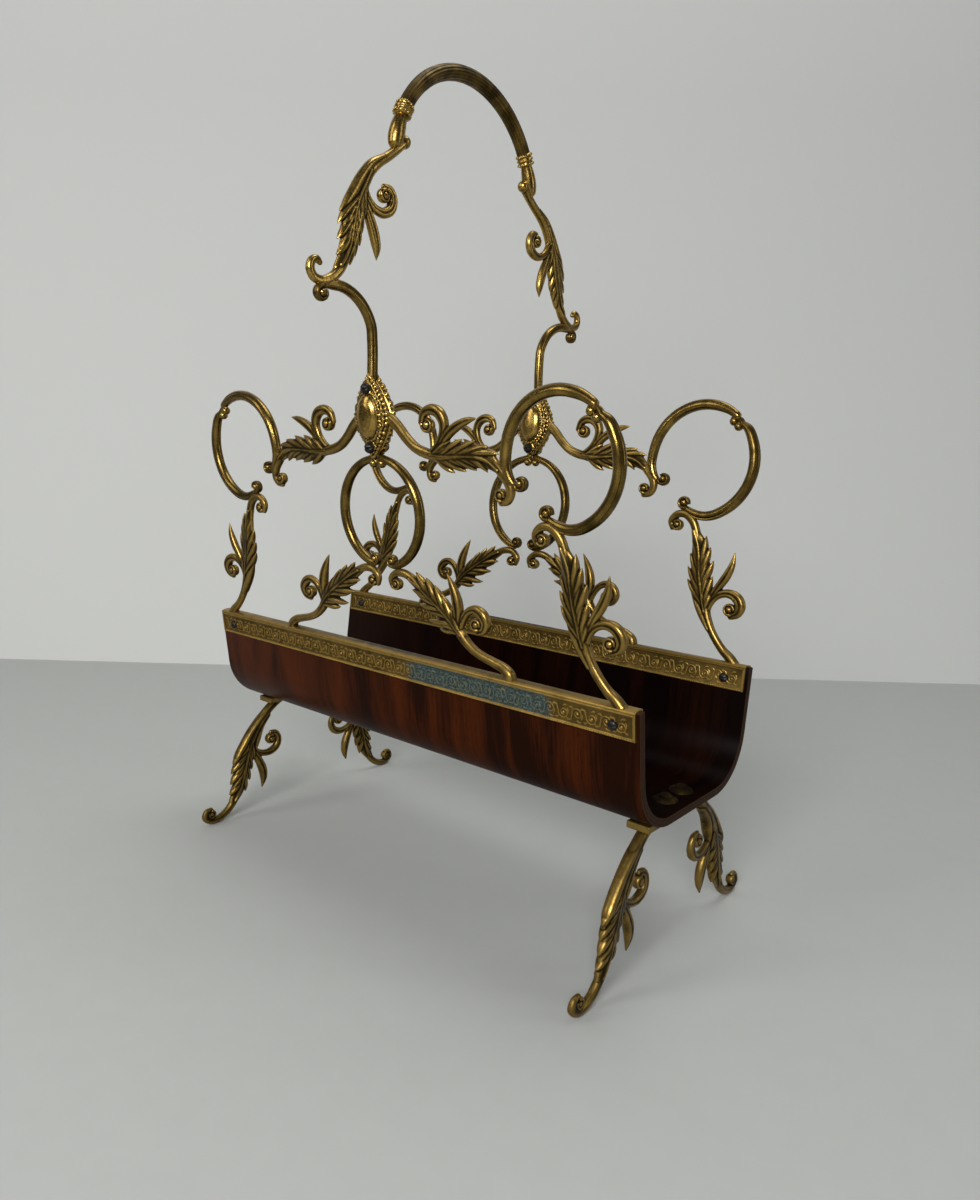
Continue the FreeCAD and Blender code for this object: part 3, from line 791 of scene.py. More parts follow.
def arm():
    """Arm from the medallion to the end ring, with its leaf, side scroll and petal."""
    bm = bmesh.new()
    bar(bm, [(7, 139.5, 6.6), (13.6, 137.5, 6.4), (18.8, 133.6, 6), (24.5, 127.8, 5.8), (31.4, 122.6, 5.8),
             (40, 119.6, 6), (50, 118, 4.8, 6.2), (60, 118.3, 3.4, 6.2), (72, 119, 3, 6), (82, 118, 3.4, 5.8),
             (89, 115, 5), (94, 110.6, 5.6), (97.8, 105.6, 5.2), (98.8, 100.8, 4.8), (96.4, 96.8, 4.4),
             (92.4, 95.8, 3.8)], creased)
    leaf(bm, [(44, 119, 6), (54, 118.4, 10), (66, 118.8, 13.5), (76, 119, 12.5), (85, 117.2, 9.5),
              (92, 112.6, 5)],
         [(58, 126.8), (66.5, 127.8), (75.5, 127.2), (84.5, 124.6), (91.6, 120.6), (60.4, 109.8),
          (68.6, 110.8), (76.2, 111.6), (83.6, 111)])
    bar(bm, [(43, 119.5, 5), (48, 123.4, 4.6), (52.4, 129.4, 5), (53.8, 135.8, 5.8), (50.8, 141.2, 6.6),
             (45, 143.2, 6.2), (39.2, 141, 5), (37, 136.2, 3.8)], dished)
    bar(bm, [(51, 124.5, 4.4), (58.5, 131.6, 5.6), (66, 135.8, 5), (72, 137.8, 3.4),
             (77, 138.6, 0.8)], dished)
    volute(bm, (42, 135), 4.9, 170, 290, 2.6)
    volute(bm, (92.4, 99.8), 4.0, -88, -290, 2.2)
    return bm


def ring_upper_arc():
    """Upper part of an end ring, from the small scroll over the top to its roll."""
    bm = bmesh.new()
    bar(bm, [(147.6, 144, 3), (150.6, 144.8, 4)]
        + arc((130, 118.4), 34, (62, 76, 92, 108, 124, 140, 156, 170),
          (5.2, 6.2, 6.5, 6.5, 6.5, 6.5, 6.4, 6.2))
        + [(96.2, 112.6, 5.8), (98.4, 107.8, 5.2), (101.6, 104.6, 3.8)], ringed, around=24)
    ball(bm, 148.4, 142.4, 2.7, 1.1)
    volute(bm, (105.4, 106.4), 4.7, 195, 290, 2.7)
    return bm


def ring_lower_arc():
    """Lower part of an end ring, from its roll round the outside to the small scroll."""
    bm = bmesh.new()
    bar(bm, [(122.8, 89, 3.8), (127.6, 86.8, 5), (133.4, 85.3, 5.6)]
        + arc((130, 118.4), 34, (-74, -58, -42, -26, -10, 6, 22, 37), (6, 6.3, 6.5, 6.5, 6.5, 6.5, 6.2, 5.2))
        + [(154.4, 140.8, 4), (152.6, 143.4, 3)], ringed, around=24)
    ball(bm, 151.6, 139.4, 2.7, 1.1)
    volute(bm, (121.7, 92.6), 4.7, -75, -290, 2.7)
    return bm


def middle_ring_half():
    """Half of a middle ring, with a roll below and a small ball under the medallion."""
    bm = bmesh.new()
    bar(bm, [(8.4, 52.8, 3.8), (12.6, 54, 4.8)]
        + arc((0, 83.5), 32, (-60, -46, -32, -16, 0, 16, 32, 48, 64, 78),
          (5.4, 5.7, 5.9, 6, 6, 6, 5.8, 5.4, 5, 4.6))
        + [(2.6, 115.6, 4), (1, 113.4, 3.2)], ringed, around=24)
    ball(bm, 3.4, 112.6, 2.6, 1.1)
    volute(bm, (7.4, 55.8), 4.4, -80, -280, 2.6)
    return bm


def handle_leaf():
    """Leafy scroll between the rod and the grip's socket."""
    bm = bmesh.new()
    bar(bm, [(55.4, 446.4, 5.6, 6.4), (60.6, 441.6, 5.4), (66, 437.4, 5.4), (72.4, 433, 5.6),
             (78.6, 427.2, 5.8),
             (82.8, 420, 5.6), (85.6, 411.4, 5), (87.6, 402.6, 4, 6.4), (89.8, 394, 3.2, 6.4),
             (92.6, 386, 3.4, 6.2), (96.6, 378.4, 4.6), (101.6, 371.8, 5.6), (107.4, 367.2, 5.6),
             (113.6, 365.4, 5.2),
             (118.8, 367, 5), (120.6, 370.6, 4.8), (119.4, 374.4, 4.6), (116.2, 375.8, 4.2),
             (114.2, 374.2, 3.2)], creased)
    bar(bm, [(70, 436.4, 3, 5), (78.4, 431, 4.6, 5.6), (85.6, 422.4, 6, 5.6), (91.4, 413.6, 6.2, 5.4),
             (96.4, 407.4, 4, 4.4), (100.6, 402.6, 0.8, 1.4)])
    leaf(bm, [(80, 427, 6), (86, 416, 8.5), (90, 407, 11), (92.6, 397, 13), (94.4, 388, 11.5),
              (97.6, 380, 8.5), (102.6, 373, 5)],
         [(102, 395.8), (102.6, 387.9), (103.2, 380.1), (83.6, 401), (84.8, 394), (86.6, 387), (90, 381),
          (93.6, 376)],
         depth=5)
    bar(bm, [(84, 418, 5), (80.6, 412.2, 4.4), (75.6, 408.2, 5), (69.4, 407.2, 5.8), (64, 410.2, 6.4),
             (62.4, 415.8, 5.8), (65, 420.4, 4.8), (69, 421, 3.6)], dished)
    bar(bm, [(84, 411, 4.4), (79.6, 402.6, 5.8), (76, 394, 6.2), (74.4, 387.4, 4.8),
             (74.6, 381.6, 0.8)], dished)
    volute(bm, (69, 416.2), 4.5, 95, -290, 2.4)
    ball(bm, 53.6, 447.6, 3.7)
    return bm


def leg():
    """Cabriole leg with its leaf, side scroll, petal and scrolled foot."""
    bm = bmesh.new()
    bar(bm, [(18, 85.2, 5, 6), (25.6, 83.2, 5.6, 7), (33, 79, 6.2, 7.2), (40, 73, 6.6, 7.2),
             (46, 66, 6.8, 7.2),
             (51, 58, 6.8, 7.2), (55, 49, 5.8, 7.2), (57.6, 40, 4, 7.6), (60.2, 30, 3.6, 7.4),
             (63.6, 20, 4, 7), (68.4, 11.6, 5.6), (74.6, 5.8, 5.4), (81.4, 3, 5.2), (87.8, 3.2, 4.9),
             (92, 6.8, 4.6), (90.6, 11, 3.8), (86.8, 11.8, 3)], creased)
    leaf(bm, [(51, 56, 8), (55.4, 47, 11), (58.8, 38, 13), (61, 29, 13), (63.8, 20, 10.5), (69, 11.4, 6)],
         [(67.6, 42), (69.2, 34), (70.2, 26), (71.2, 18.2), (50, 40), (51.2, 33), (53.2, 25), (57.2, 17.4)],
         depth=5.6, reach=17, lobe_width=4.6)
    bar(bm, [(34.6, 78.8, 2.6, 6.6), (43, 72.4, 3.2, 7), (51.6, 63.4, 4, 7), (58.8, 53.4, 4.8, 7),
             (64, 46, 3.6, 6), (67, 40.4, 0.9, 2.4)])
    bar(bm, [(35.4, 73.4, 3, 6.4), (42, 65.8, 4.2, 7), (46.4, 54.6, 4.6, 6.6), (48.4, 45, 1, 2.4)])
    bar(bm, [(52, 51.5, 5.2), (46.5, 46.4, 4.8), (40, 43.4, 5), (33.6, 43.4, 5.8), (28.2, 46.6, 6),
             (26.4, 52, 5.4), (28.8, 57.2, 4.6), (33, 58.4, 3.6)], dished)
    bar(bm, [(48.4, 45, 5), (44, 37.6, 6.4), (41, 29.5, 6.8), (40.6, 23, 5.2), (42.2, 16.6, 1.2)], dished)
    volute(bm, (33.4, 53.4), 4.7, 95, -290, 2.5)
    volute(bm, (86.9, 8.2), 3.8, 95, 290, 2.1)
    return bm


class RACK_OT_stems(bpy.types.Operator):
    """Cast the leafy stems that stand on the rails"""
    bl_idname = "rack.stems"
    bl_label = "Gallery Stems"

    def execute(self, context):
        for drawing, node in ((outer_stem, "outer_stem"), (inner_stem, "inner_stem")):
            settle_copies(fused(drawing()), on_gallery(), node, True)
        return {"FINISHED"}


class RACK_OT_arms(bpy.types.Operator):
    """Cast the leafy arms between the medallions and the end rings"""
    bl_idname = "rack.arms"
    bl_label = "Gallery Arms"

    def execute(self, context):
        settle_copies(fused(arm()), on_gallery(), "arm", True)
        return {"FINISHED"}


class RACK_OT_rings(bpy.types.Operator):
    """Cast the arcs of the end rings and the middle rings"""
    bl_idname = "rack.rings"
    bl_label = "Gallery Rings"

    def execute(self, context):
        for drawing, node in ((ring_upper_arc, "ring_upper_arc"), (ring_lower_arc, "ring_lower_arc"),
                              (middle_ring_half, "middle_ring_half")):
            settle_copies(drawing(), on_gallery(), node, True, "ring_brass", crease=60)
        return {"FINISHED"}


class RACK_OT_legs(bpy.types.Operator):
    """Cast the cabriole legs with their mounting pads"""
    bl_idname = "rack.legs"
    bl_label = "Legs"

    def execute(self, context):
        low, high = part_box("front_right_leg")
        bm = fused(leg())
        for vert in bm.verts:
            vert.co.y = max(vert.co.y, 0)
        pad_width, pad_top = (high.x - low.x) / MM, high.z / MM
        pad_inner, pad_outer, pad_thickness = 1.5, 37.5, 4.0
        place = Matrix.Translation(((pad_inner + pad_outer) / 2, pad_top - pad_thickness / 2, 0))
        pad = bmesh.ops.create_cube(bm, size=1, matrix=place @ Matrix.Diagonal(
            (pad_outer - pad_inner, pad_thickness, pad_width, 1)))
        bmesh.ops.bevel(bm, geom=edges_of(pad["verts"]), affect="EDGES", offset=0.5, segments=3, profile=0.5,
                        material=-1)
        settle_copies(bm, across_rack((low.x + high.x) / 2), "leg", True, "leg_brass", crease=40)
        return {"FINISHED"}


# ---- Medallions ----

def oval_point(turn, half_width, half_height, point):
    """A point at an angle of an outline between an ellipse (0) and a pointed oval (1)."""
    c, s = math.cos(turn), math.sin(turn)
    pointed = math.copysign(max(0.0, 1 - abs(s) ** 1.5), c)
    return half_width * (c * (1 - point) + pointed * point), half_height * s


def medallion_shell():
    """Half of a medallion: pointed plate, smooth oval boss, rows of beads and a granulated field."""
    bm = bmesh.new()
    profile = ((12.4, 22.4, 0.25, 1), (13.4, 23.4, 1.2, 1), (13.4, 23.4, 3.0, 1), (12.2, 21.8, 4.2, 0.95),
               (10.6, 18.6, 4.8, 0.8), (9.4, 13.6, 5.0, 0.3), (8.7, 13.2, 5.1, 0.05), (8.3, 12.6, 5.9, 0),
               (7.4, 11.4, 7.2, 0), (6.0, 9.4, 8.3, 0), (4.0, 6.4, 9.0, 0), (1.8, 2.9, 9.35, 0))
    before = None
    for half_width, half_height, level, point in profile:
        before = join(bm, before, loop(bm, 64, lambda x, y: Vector(
            (*oval_point(math.atan2(y, x), half_width, half_height, point), level))))
    join(bm, None, before)
    bmesh.ops.recalc_face_normals(bm, faces=bm.faces)

    def bead(place, radius):
        """A round bead."""
        bmesh.ops.create_icosphere(bm, subdivisions=2, radius=radius, matrix=Matrix.Translation(place))

    for half_width, half_height, level, radius, count, point in (
            (13.0, 22.8, 2.6, 1.3, 52, 1), (11.9, 20.6, 4.3, 0.9, 50, 0.95), (9.2, 13.8, 5.2, 0.7, 52, 0.1)):
        for k in range(count):
            turn = 2 * math.pi * (k + 0.5) / count
            bead((*oval_point(turn, half_width, half_height, point), level), radius * (1.1 - 0.25 * (k % 2)))
    chance = random.Random(7)
    for _ in range(320):
        turn, share = chance.uniform(0, 2 * math.pi), chance.uniform(0.66, 0.93)
        u, v = oval_point(turn, 13.4 * share, 23.4 * share, 0.8)
        if (u / 9.1) ** 2 + (v / 13.4) ** 2 > 1:
            bead((u, v, 5.1 - 0.5 * share), chance.uniform(0.45, 0.85))
    bm.transform(Matrix.Translation((0, 139.5, 0)))
    return bm


def dome(bm, radius, height, place, slot=True):
    """A domed head, spun from its profile, with or without a slot for a screwdriver."""
    head = bmesh.new()
    count, skirt = 8, 0.6
    profile = [Vector((0, 0, -skirt)), Vector((radius, 0, -skirt))]
    profile += [Vector((radius * math.cos(a), 0, height * math.sin(a)))
                for a in (math.pi / 2 * k / count for k in range(count + 1))]
    verts = [head.verts.new(p) for p in profile]
    edges = [head.edges.new(pair) for pair in zip(verts, verts[1:])]
    bmesh.ops.spin(head, geom=verts + edges, cent=(0, 0, 0), axis=(0, 0, 1), dvec=(0, 0, 0),
                   angle=2 * math.pi, steps=28, use_merge=True)
    bmesh.ops.remove_doubles(head, verts=head.verts, dist=0.001)
    for vert in head.verts:
        if slot and vert.co.z > height * 0.5 and abs(vert.co.y) < radius * 0.13:
            vert.co.z -= height * 0.22
    head.transform(place)
    pour(bm, head)
    head.free()


def settle_screws(plane, nodes, spots, radius, height, reach):
    """Settle domed screws over these spots of a drawing, and their nuts under them."""
    for node, sign in zip(nodes, (1, -1)):
        bm = bmesh.new()
        for u, v in spots:
            dome(bm, radius, height, Matrix.Translation((u, v, sign * reach))
                 @ Matrix.Diagonal((1, sign, sign, 1)))
        bmesh.ops.recalc_face_normals(bm, faces=bm.faces)
        settle_copies(bm, plane, node, False, "black_steel", 50)


class RACK_OT_medallions(bpy.types.Operator):
    """Cast the beaded medallion shells and make their screws and nuts"""
    bl_idname = "rack.medallions"
    bl_label = "Medallions"

    def execute(self, context):
        shell = fused(medallion_shell(), sizes().bead_grain, 1)
        for node, sign in (("medallion_outer_shell", 1), ("medallion_inner_shell", -1)):
            settle_copies(shell.copy(), on_gallery() @ Matrix.Diagonal((1, 1, sign, 1)), node, False,
                          "rubbed_brass")
        shell.free()
        settle_screws(on_gallery(), ("medallion_screws", "medallion_nuts"), ((0, 155),
        (0, 122)), 3.3, 3.4, 5.4)
        return {"FINISHED"}


# ---- Handle ----

GRIP_CENTRE = (0, 435.7)  # of the grip's arch, in millimetres from the middle and the floor
GRIP_ARCH = 61.5  # its radius


def handle_rod():
    """Rod from the medallion, hooked outwards and ended in a roll."""
    bm = bmesh.new()
    bar(bm, [(77.4, 303, 6), (77.3, 312, 6), (77.2, 321, 6), (77.1, 330, 6), (77.4, 339, 6)]
        + arc((104, 337.4), 27.2, (162, 146, 130, 114, 98), (6,) * 5)
        + [(105.4, 364.4, 5.8), (110.4, 363.8, 4.6), (113.2, 362.6, 3.6)], creased, around=24)
    volute(bm, (113.2, 359.2), 5.2, 95, -300, 3.0)
    return bm


def along_grip(angles, radii):
    """Stations along the grip's arch at these angles, with these radii."""
    return [(*polar(GRIP_CENTRE, GRIP_ARCH, a), 2 * r, 2 * r) for a, r in zip(angles, radii)]


def grip():
    """Reeded grip, a little stouter in the middle, between its two sockets."""
    bm = bmesh.new()
    reeds = sizes().reeds

    def reeded(c, s):
        """A round section with reeds."""
        turn = math.atan2(s, c)
        swell = 1 - 0.075 * (0.5 + 0.5 * math.cos(reeds * turn)) ** 2
        return c * swell, s * swell

    first, last = 29, 151
    angles = list(range(first, last + 1, 6)) + [last]
    radii = [4.3 + 0.35 * math.sin(math.pi * (a - first) / (last - first)) for a in angles]
    skin(bm, smooth_line(along_grip(angles, radii), 1.4), reeded, reeds * 6)
    return bm


def grip_socket():
    """Smooth barrel under the grip with a beaded collar above it."""
    bm = bmesh.new()
    barrel = along_grip((6.4, 6.9, 8, 10, 13, 17, 21, 24.6), (0.6, 2.2, 3.4, 4.1, 4.5, 4.4, 3.9, 3.3))
    collar = along_grip((23.6, 24.3, 25.2, 26.2, 27.4, 28.6, 29.6, 30.4, 31),
                        (3.6, 4.8, 5.0, 4.5, 5.3, 4.5, 5.0, 4.9, 4.0))
    skin(bm, smooth_line(barrel, 0.4), plain, 32)
    skin(bm, smooth_line(collar, 0.35), plain, 32)
    count, bead_ring, bead = 16, 4.95, 0.75
    for angle in (25.0, 29.8):
        centre = Vector((*polar(GRIP_CENTRE, GRIP_ARCH, angle), 0))
        out = Vector((*polar((0, 0), bead_ring, angle), 0))
        for k in range(count):
            turn = 2 * math.pi * k / count
            place = centre + out * math.cos(turn) + Vector((0, 0, bead_ring * math.sin(turn)))
            bmesh.ops.create_icosphere(bm, subdivisions=2, radius=bead, matrix=Matrix.Translation(place))
    return bm


class RACK_OT_handle(bpy.types.Operator):
    """Make the handle: rods, leaf scrolls, sockets and the reeded grip"""
    bl_idname = "rack.handle"
    bl_label = "Handle"

    def execute(self, context):
        plane = across_rack(0)
        settle_copies(handle_rod(), plane, "handle_rod", False, "ring_brass", crease=60)
        settle_copies(fused(handle_leaf()), plane, "handle_leaf", False, "ring_brass")
        settle_copies(grip_socket(), plane, "grip_socket", False, "rubbed_brass")
        settle("handle_grip_visual", grip(), plane, [material("grip_brass")],
               ["handle_grip"])
        return {"FINISHED"}


# ---- Rails ----

SKIN = 3.3  # from the middle of the channel to its face, in millimetres


def rail_section(outer):
    """Half of the channel's outline (w, v): skin, raised borders, plain sunk band, crowned top."""
    inner, bottom = 2.52, -mm(sizes().rail_depth)
    points = [(0, 0.05), (inner, 0.05), (inner, bottom), (SKIN + 0.35, bottom), (SKIN + 0.6, bottom + 0.35),
              (SKIN + 0.6, bottom + 1.1), (SKIN + 0.1, bottom + 1.5), (SKIN, bottom + 1.7), (SKIN, -2.2),
              (SKIN + 0.15, -2.0), (SKIN + 0.55, -1.7), (SKIN + 0.6, -1.2), (SKIN + 0.25, -0.85),
              (SKIN + 0.5, -0.5), (SKIN + 0.5, 0.1), (SKIN + 0.1, 0.6), (2.4, 0.85), (1.2, 1.0), (0, 1.05)]
    return [(w * outer, v) for w, v in points]


def vine_curves(pitch, flip):
    """Centre lines of one scroll of the embossed vine, (along, up) about the band's middle."""
    spiral = [(*polar((0.9, 0.35 * flip), 3.45 - 2.55 * k / 14, (200 - 36 * k) * flip), 0.95 - 0.02 * k)
              for k in range(15)]
    link = [(-pitch * 0.62, -3.9 * flip, 0.9), (-pitch * 0.36, -3.2 * flip, 1.0), (-2.7, -1.2 * flip, 1.0),
            (-2.35, -0.4 * flip, 0.95)]
    sprays = [[(2.6, 2.6 * flip, 0.5), (3.9, 3.5 * flip, 1.5), (5.0, 3.2 * flip, 0.5)],
              [(-1.8, 2.9 * flip, 0.5), (-2.9, 3.7 * flip, 1.4), (-4.1, 3.4 * flip, 0.5)],
              [(3.3, -2.4 * flip, 0.5), (3.9, -0.9 * flip, 1.4), (3.9, 0.6 * flip, 0.5)],
              [(0.6, -3.2 * flip, 0.5), (1.9, -4.0 * flip, 1.3), (3.2, -3.9 * flip, 0.5)]]
    return [link + spiral[1:]] + sprays


def strip(bm, points, level, height):
    """A thin half-round relief strip laid on a face at a level above the drawing."""
    before = None
    for place, way, width, _ in smooth_line(points, 0.75):
        across = Vector((-way.y, way.x, 0)) * (width / 2)
        profile = ((-1, -0.15), (-0.62, height * 0.8), (0, height), (0.62, height * 0.8), (1, -0.15))
        ring = [bm.verts.new(place + across * side + Vector((0, 0, level + lift))) for side, lift in profile]
        edges = [bm.edges.new((a, b)) for a, b in zip(ring, ring[1:] + ring[:1])]
        before = join(bm, before, edges)
    join(bm, None, before)


def rail_relief(half):
    """The embossed vine, beads and end bars on one face of a rail of this half length."""
    relief = bmesh.new()
    pitch, middle = mm(sizes().vine_pitch), -8.0
    scrolls = int(2 * (half - 4) / pitch)
    for k in range(scrolls):
        flip = 1 if k % 2 else -1
        shift = (k + 0.5 - scrolls / 2) * pitch
        for points in vine_curves(pitch, flip):
            strip(relief, [(u + shift, v + middle, width) for u, v, width in points], SKIN, 0.6)
        bmesh.ops.create_icosphere(relief, subdivisions=1, radius=0.8, matrix=Matrix.Translation(
            (shift + 0.9, middle + 0.35 * flip, SKIN + 0.1)))
    bead_pitch = 1.5
    beads = int(2 * (half - 1) / bead_pitch)
    for k in range(beads):
        bmesh.ops.create_icosphere(relief, subdivisions=1, radius=0.62, matrix=Matrix.Translation(
            ((k + 0.5 - beads / 2) * bead_pitch, -14.25, SKIN + 0.6)))
    for end in (-1, 1):
        place = Matrix.Translation((end * (half - 0.7), middle, SKIN + 0.1))
        bmesh.ops.create_cube(relief, size=1, matrix=place @ Matrix.Diagonal((1.3, 12.4, 1.0, 1)))
    bmesh.ops.recalc_face_normals(relief, faces=relief.faces)
    return relief


def rail():
    """Brass channel with a raised border and an embossed vine along both of its faces."""
    low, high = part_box("front_rail")
    half = (high.x - low.x) / 2 / MM
    bm = bmesh.new()
    outline = rail_section(1) + rail_section(-1)[-2:0:-1]
    face = bm.faces.new([bm.verts.new((-half, v, w)) for w, v in outline])
    stretch(bm, [face], 2 * half)
    bmesh.ops.recalc_face_normals(bm, faces=bm.faces)
    relief = rail_relief(half)
    for _ in range(2):
        pour(bm, relief)
        relief.transform(Matrix.Diagonal((1, 1, -1, 1)))
        bmesh.ops.reverse_faces(relief, faces=relief.faces)
    relief.free()
    # Painted shade: verts of the sunken band get a stored hollow by their depth below band_level, so the
    # band's floor darkens in the brass and the relief above it comes out rubbed brighter.
    band_bottom, band_top, band_level, shade = -13.4, -1.95, 3.62, 0.16
    hollow = bm.verts.layers.float.new("hollow")
    for vert in bm.verts:
        if band_bottom < vert.co.y < band_top:
            vert[hollow] = (band_level - abs(vert.co.z)) * shade
    return bm


class RACK_OT_rails(bpy.types.Operator):
    """Make the embossed brass rails with their screws and nuts"""
    bl_idname = "rack.rails"
    bl_label = "Rails"

    def execute(self, context):
        settle_copies(rail(), on_rail(), "rail", False, "rail_brass", crease=35)
        settle_screws(on_rail(), ("rail_screws", "rail_nuts"), ((-162, -8.5), (162, -8.5)), 2.9, 2.0, 3.6)
        return {"FINISHED"}


# ---- Trough and its fasteners ----

def trough_line():
    """The trough's outer line, as (y, z) points from the back rim under the floor to the front rim."""
    low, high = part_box("trough_shell")
    lean, radius, flat = sizes().wall_lean, mm(sizes().bend_radius), mm(sizes().half_floor)
    under = low.z / MM
    top = high.z / MM - mm(sizes().ply) * math.sin(lean)
    bend_steps, wall_steps = 14, 4
    centre = Vector((flat, under + radius))
    bend = [centre + Vector((math.sin(a), -math.cos(a))) * radius
            for a in ((math.pi / 2 - lean) * k / bend_steps for k in range(bend_steps + 1))]
    height = (top - bend[-1].y) / math.cos(lean)
    wall = [bend[-1] + Vector((math.sin(lean), math.cos(lean))) * height * k / wall_steps
            for k in range(1, wall_steps + 1)]
    right = [Vector((0, under)), Vector((flat / 2, under))] + bend + wall
    return [Vector((-p.x, p.y)) for p in right[:0:-1]] + right


def trough():
    """The bent plywood, with a veneer map and these materials: 0 outside, 1 cut edges, 2 inside, painted
    darker as shade.
    """
    half, ply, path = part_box("trough_shell")[1].x / MM, mm(sizes().ply), trough_line()
    top, rim_depth = path[-1].y, 3
    girth = [0.0]
    for a, b in zip(path, path[1:]):
        girth.append(girth[-1] + (b - a).length)
    middle = girth[-1] / 2
    inward = []
    for before, after in zip([path[0]] + path[:-1], path[1:] + [path[-1]]):
        way = (after - before).normalized()
        inward.append(Vector((-way.y, way.x)))
    outline = [(p, g, 0) for p, g in zip(path, girth)]
    outline += [(p + n * ply, g, ply) for p, n, g in zip(path, inward, girth)][::-1]
    bm = bmesh.new()
    uv = bm.loops.layers.uv.new("veneer")
    verts = [bm.verts.new((-half, p.x, p.y)) for p, _, _ in outline]
    edges = [bm.edges.new(pair) for pair in zip(verts, verts[1:] + verts[:1])]
    count = len(path)
    for a in range(count - 1):
        bm.faces.new((verts[a], verts[a + 1], verts[2 * count - 2 - a], verts[2 * count - 1 - a]))
    stretch(bm, list(bm.faces) + edges, 2 * half)
    bmesh.ops.recalc_face_normals(bm, faces=bm.faces)
    where = {(round(p.x, 3), round(p.y, 3)): (g, t) for p, g, t in outline}
    other_sheet = 300
    for face in bm.faces:
        spots = [where[round(v.co.y, 3), round(v.co.z, 3)] for v in face.verts]
        cut = abs(face.normal.x) > 0.9
        rim = abs(face.normal.z) > 0.95 and face.calc_center_median().z > top - rim_depth
        inside = all(depth for _, depth in spots)
        face.material_index = 1 if cut or rim else 2 if inside else 0
        for corner, (g, depth) in zip(face.loops, spots):
            across = g - middle
            place = (across, depth) if cut else (corner.vert.co.x, across + (other_sheet if depth else 0))
            corner[uv].uv = (place[0] * MM, place[1] * MM)
    sharp = [e for e in bm.edges if e.calc_face_angle(0) > math.radians(60)]
    bmesh.ops.bevel(bm, geom=sharp, affect="EDGES", offset=0.45, segments=2, profile=0.5, material=-1)
    return bm


class RACK_OT_trough(bpy.types.Operator):
    """Bend the plywood trough, with a veneer map on its faces and plies on its cut edges"""
    bl_idname = "rack.trough"
    bl_label = "Trough"

    def execute(self, context):
        finish = [material(name) for name in ("veneer", "ply_edge", "veneer_inside_painted_shade")]
        settle("trough_shell_visual", trough(), Matrix.Scale(MM, 4), finish,
               ["trough_shell"], 40)
        return {"FINISHED"}


class RACK_OT_leg_fasteners(bpy.types.Operator):
    """Make the domed washers and slotted screws inside the trough"""
    bl_idname = "rack.leg_fasteners"
    bl_label = "Leg Fasteners"

    def execute(self, context):
        low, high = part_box("leg_washers")
        base, radius, washer_crown = low.z / MM, 7.0, 2.1
        x, y = high.x / MM - radius, high.y / MM - radius
        washers, screws = bmesh.new(), bmesh.new()
        for sx in (-1, 1):
            for sy in (-1, 1):
                dome(washers, radius, 2.4, Matrix.Translation((sx * x, sy * y, base)), slot=False)
                dome(screws, 3.6, 2.0, Matrix.Translation((sx * x, sy * y, base + washer_crown))
                     @ Matrix.Rotation(0.6 * sx + sy, 4, "Z"))
        for bm, node in ((washers, "leg_washers"), (screws, "leg_screws")):
            bmesh.ops.recalc_face_normals(bm, faces=bm.faces)
            settle(node + "_visual", bm, Matrix.Scale(MM, 4), [material("washer_brass")],
                   [node], 50)
        return {"FINISHED"}


# ---- Stage ----

def soft_light(name, place, target, size, power, tint):
    """A rectangular area light that looks at a target."""
    data = bpy.data.lights.new(name, "AREA")
    data.shape = "RECTANGLE"
    data.size, data.size_y = size
    data.energy = power
    data.color = tint
    light = put_in_scene(name, data)
    light.location = place
    light.rotation_euler = (Vector(target) - Vector(place)).to_track_quat("-Z", "Y").to_euler()


def sheet(name, half, place, finish):
    """A flat square sheet, this far from its middle to each side."""
    bm = bmesh.new()
    bmesh.ops.create_grid(bm, x_segments=1, y_segments=1, size=half)
    bm.transform(place)
    mesh = as_mesh(name, bm)
    mesh.materials.append(material(finish))
    return put_in_scene(name, mesh)


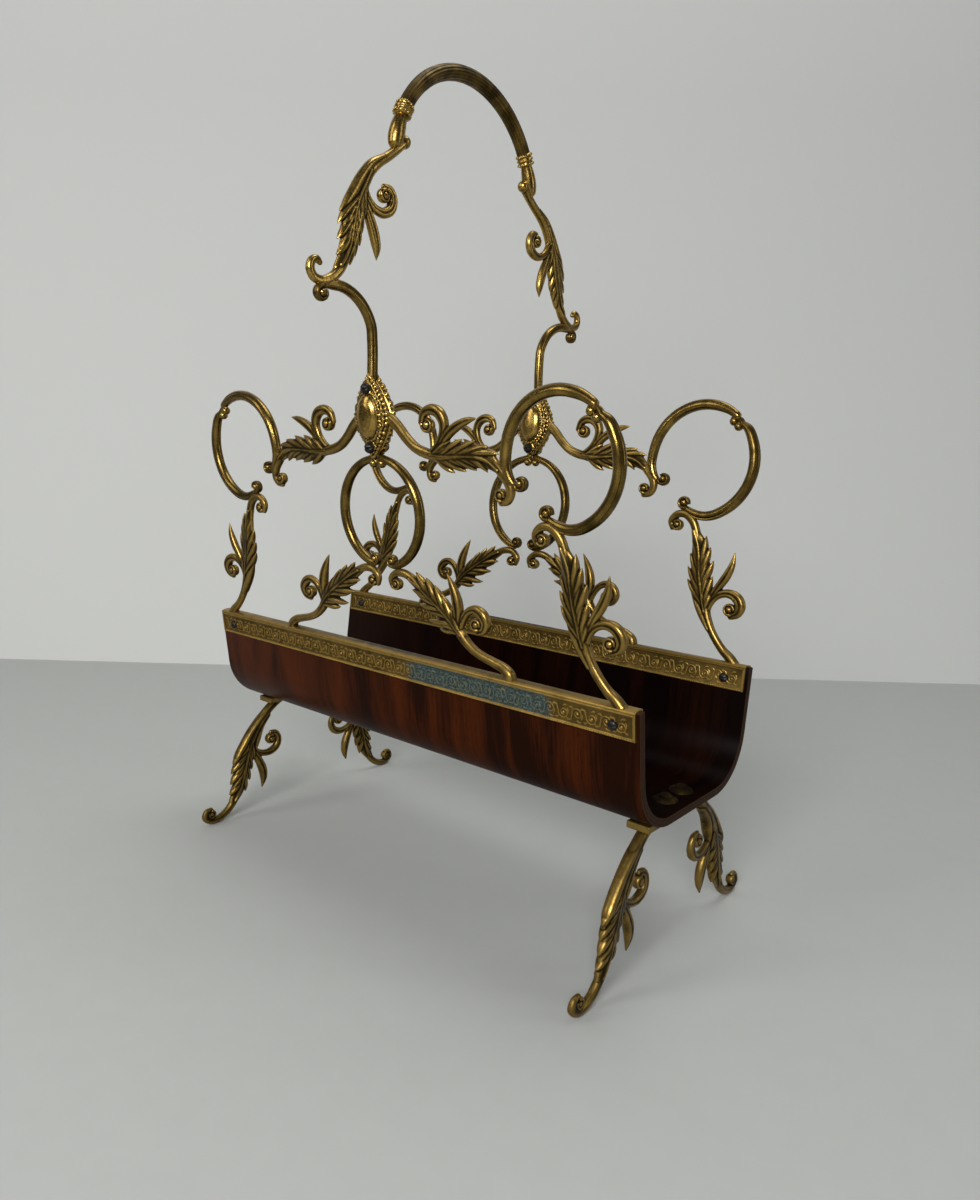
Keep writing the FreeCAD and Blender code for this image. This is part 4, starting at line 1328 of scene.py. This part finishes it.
class RACK_OT_stage(bpy.types.Operator):
    """Set the pale floor and wall, the soft lights and the camera"""
    bl_idname = "rack.stage"
    bl_label = "Stage"

    def execute(self, context):
        azimuth, pitch, roll = math.radians(40.11), math.radians(10.33), math.radians(1.51)
        eye = Vector((0.38475, -0.42560, 0.28581))
        back = Vector((math.sin(azimuth) * math.cos(pitch), -math.cos(azimuth) * math.cos(pitch),
                       math.sin(pitch)))
        right = Vector((math.cos(azimuth), math.sin(azimuth), 0))
        up = back.cross(right)
        turned_right = right * math.cos(roll) + up * math.sin(roll)
        turned_up = up * math.cos(roll) - right * math.sin(roll)
        data = bpy.data.cameras.new("camera")
        data.sensor_width = 36
        data.lens = 26.53
        data.clip_start = 0.01
        camera = put_in_scene("camera", data)
        camera.matrix_world = Matrix((turned_right, turned_up, back)).transposed().to_4x4()
        camera.location = eye
        context.scene.camera = camera

        away = Vector((-back.x, -back.y, 0)).normalized()
        skyward = Vector((0, 0, 1))
        wall_distance, wall_half = 1.07, 1.5
        stand = Vector((eye.x, eye.y, 0)) + away * wall_distance
        upright = Matrix((right, skyward, -away)).transposed().to_4x4()
        floor = sheet("floor", 3, Matrix.Identity(4), "floor_paint")
        wall = sheet("wall", wall_half, Matrix.Translation(stand + skyward * wall_half) @ upright,
                     "wall_paint")

        world = bpy.data.worlds.new("studio")
        world.use_nodes = True
        sky = world.node_tree.nodes["Background"]
        feed(world.node_tree, sky, {"Color": (0.80, 0.82, 0.84, 1), "Strength": 0.055})
        context.scene.world = world
        middle = skyward * 0.2
        white, warm = (1, 1, 1), (1, 0.99, 0.97)
        soft_light("ceiling", middle + away * 0.24 + right * 0.34 + skyward * 1.6, middle, (1.0, 0.8), 11,
                   white)
        soft_light("window", middle - away * 0.5 - right * 1.3 + skyward * 0.9, middle, (0.5, 1.3), 7, warm)
        soft_light("side", middle - away * 0.3 + right * 1.4 + skyward * 0.5, middle, (0.25, 1.1), 2.2, white)
        soft_light("room", eye - away * 0.9 - right * 0.4 + skyward * 0.6, stand + skyward * 0.1, (0.9, 0.5),
                   28, white)
        context.scene.view_settings.view_transform = "Standard"
        return {"FINISHED"}


# ---- Add-on ----

STEPS = (RACK_OT_stage, RACK_OT_trough, RACK_OT_rails, RACK_OT_stems, RACK_OT_arms, RACK_OT_rings,
         RACK_OT_medallions, RACK_OT_handle, RACK_OT_legs, RACK_OT_leg_fasteners)


class RACK_PT_panel(bpy.types.Panel):
    """Lists the steps that build the rack"""
    bl_idname = "RACK_PT_panel"
    bl_label = "Magazine Rack"
    bl_space_type = "VIEW_3D"
    bl_region_type = "UI"
    bl_category = "Rack"

    def draw(self, context):
        for step in STEPS:
            self.layout.operator(step.bl_idname)


CLASSES = (RackSizes, RackFinishes, *STEPS, RACK_PT_panel)


def register():
    """Register the add-on and hang its settings on the scene."""
    for cls in CLASSES:
        bpy.utils.register_class(cls)
    bpy.types.Scene.rack_sizes = bpy.props.PointerProperty(type=RackSizes)
    bpy.types.Scene.rack_finishes = bpy.props.PointerProperty(type=RackFinishes)


def unregister():
    """Undo register()."""
    del bpy.types.Scene.rack_finishes
    del bpy.types.Scene.rack_sizes
    for cls in reversed(CLASSES):
        bpy.utils.unregister_class(cls)


def main():
    """Build everything in order."""
    register()
    for step in STEPS:
        area, name = step.bl_idname.split(".")
        getattr(getattr(bpy.ops, area), name)()


if __name__ == "__main__":
    main()
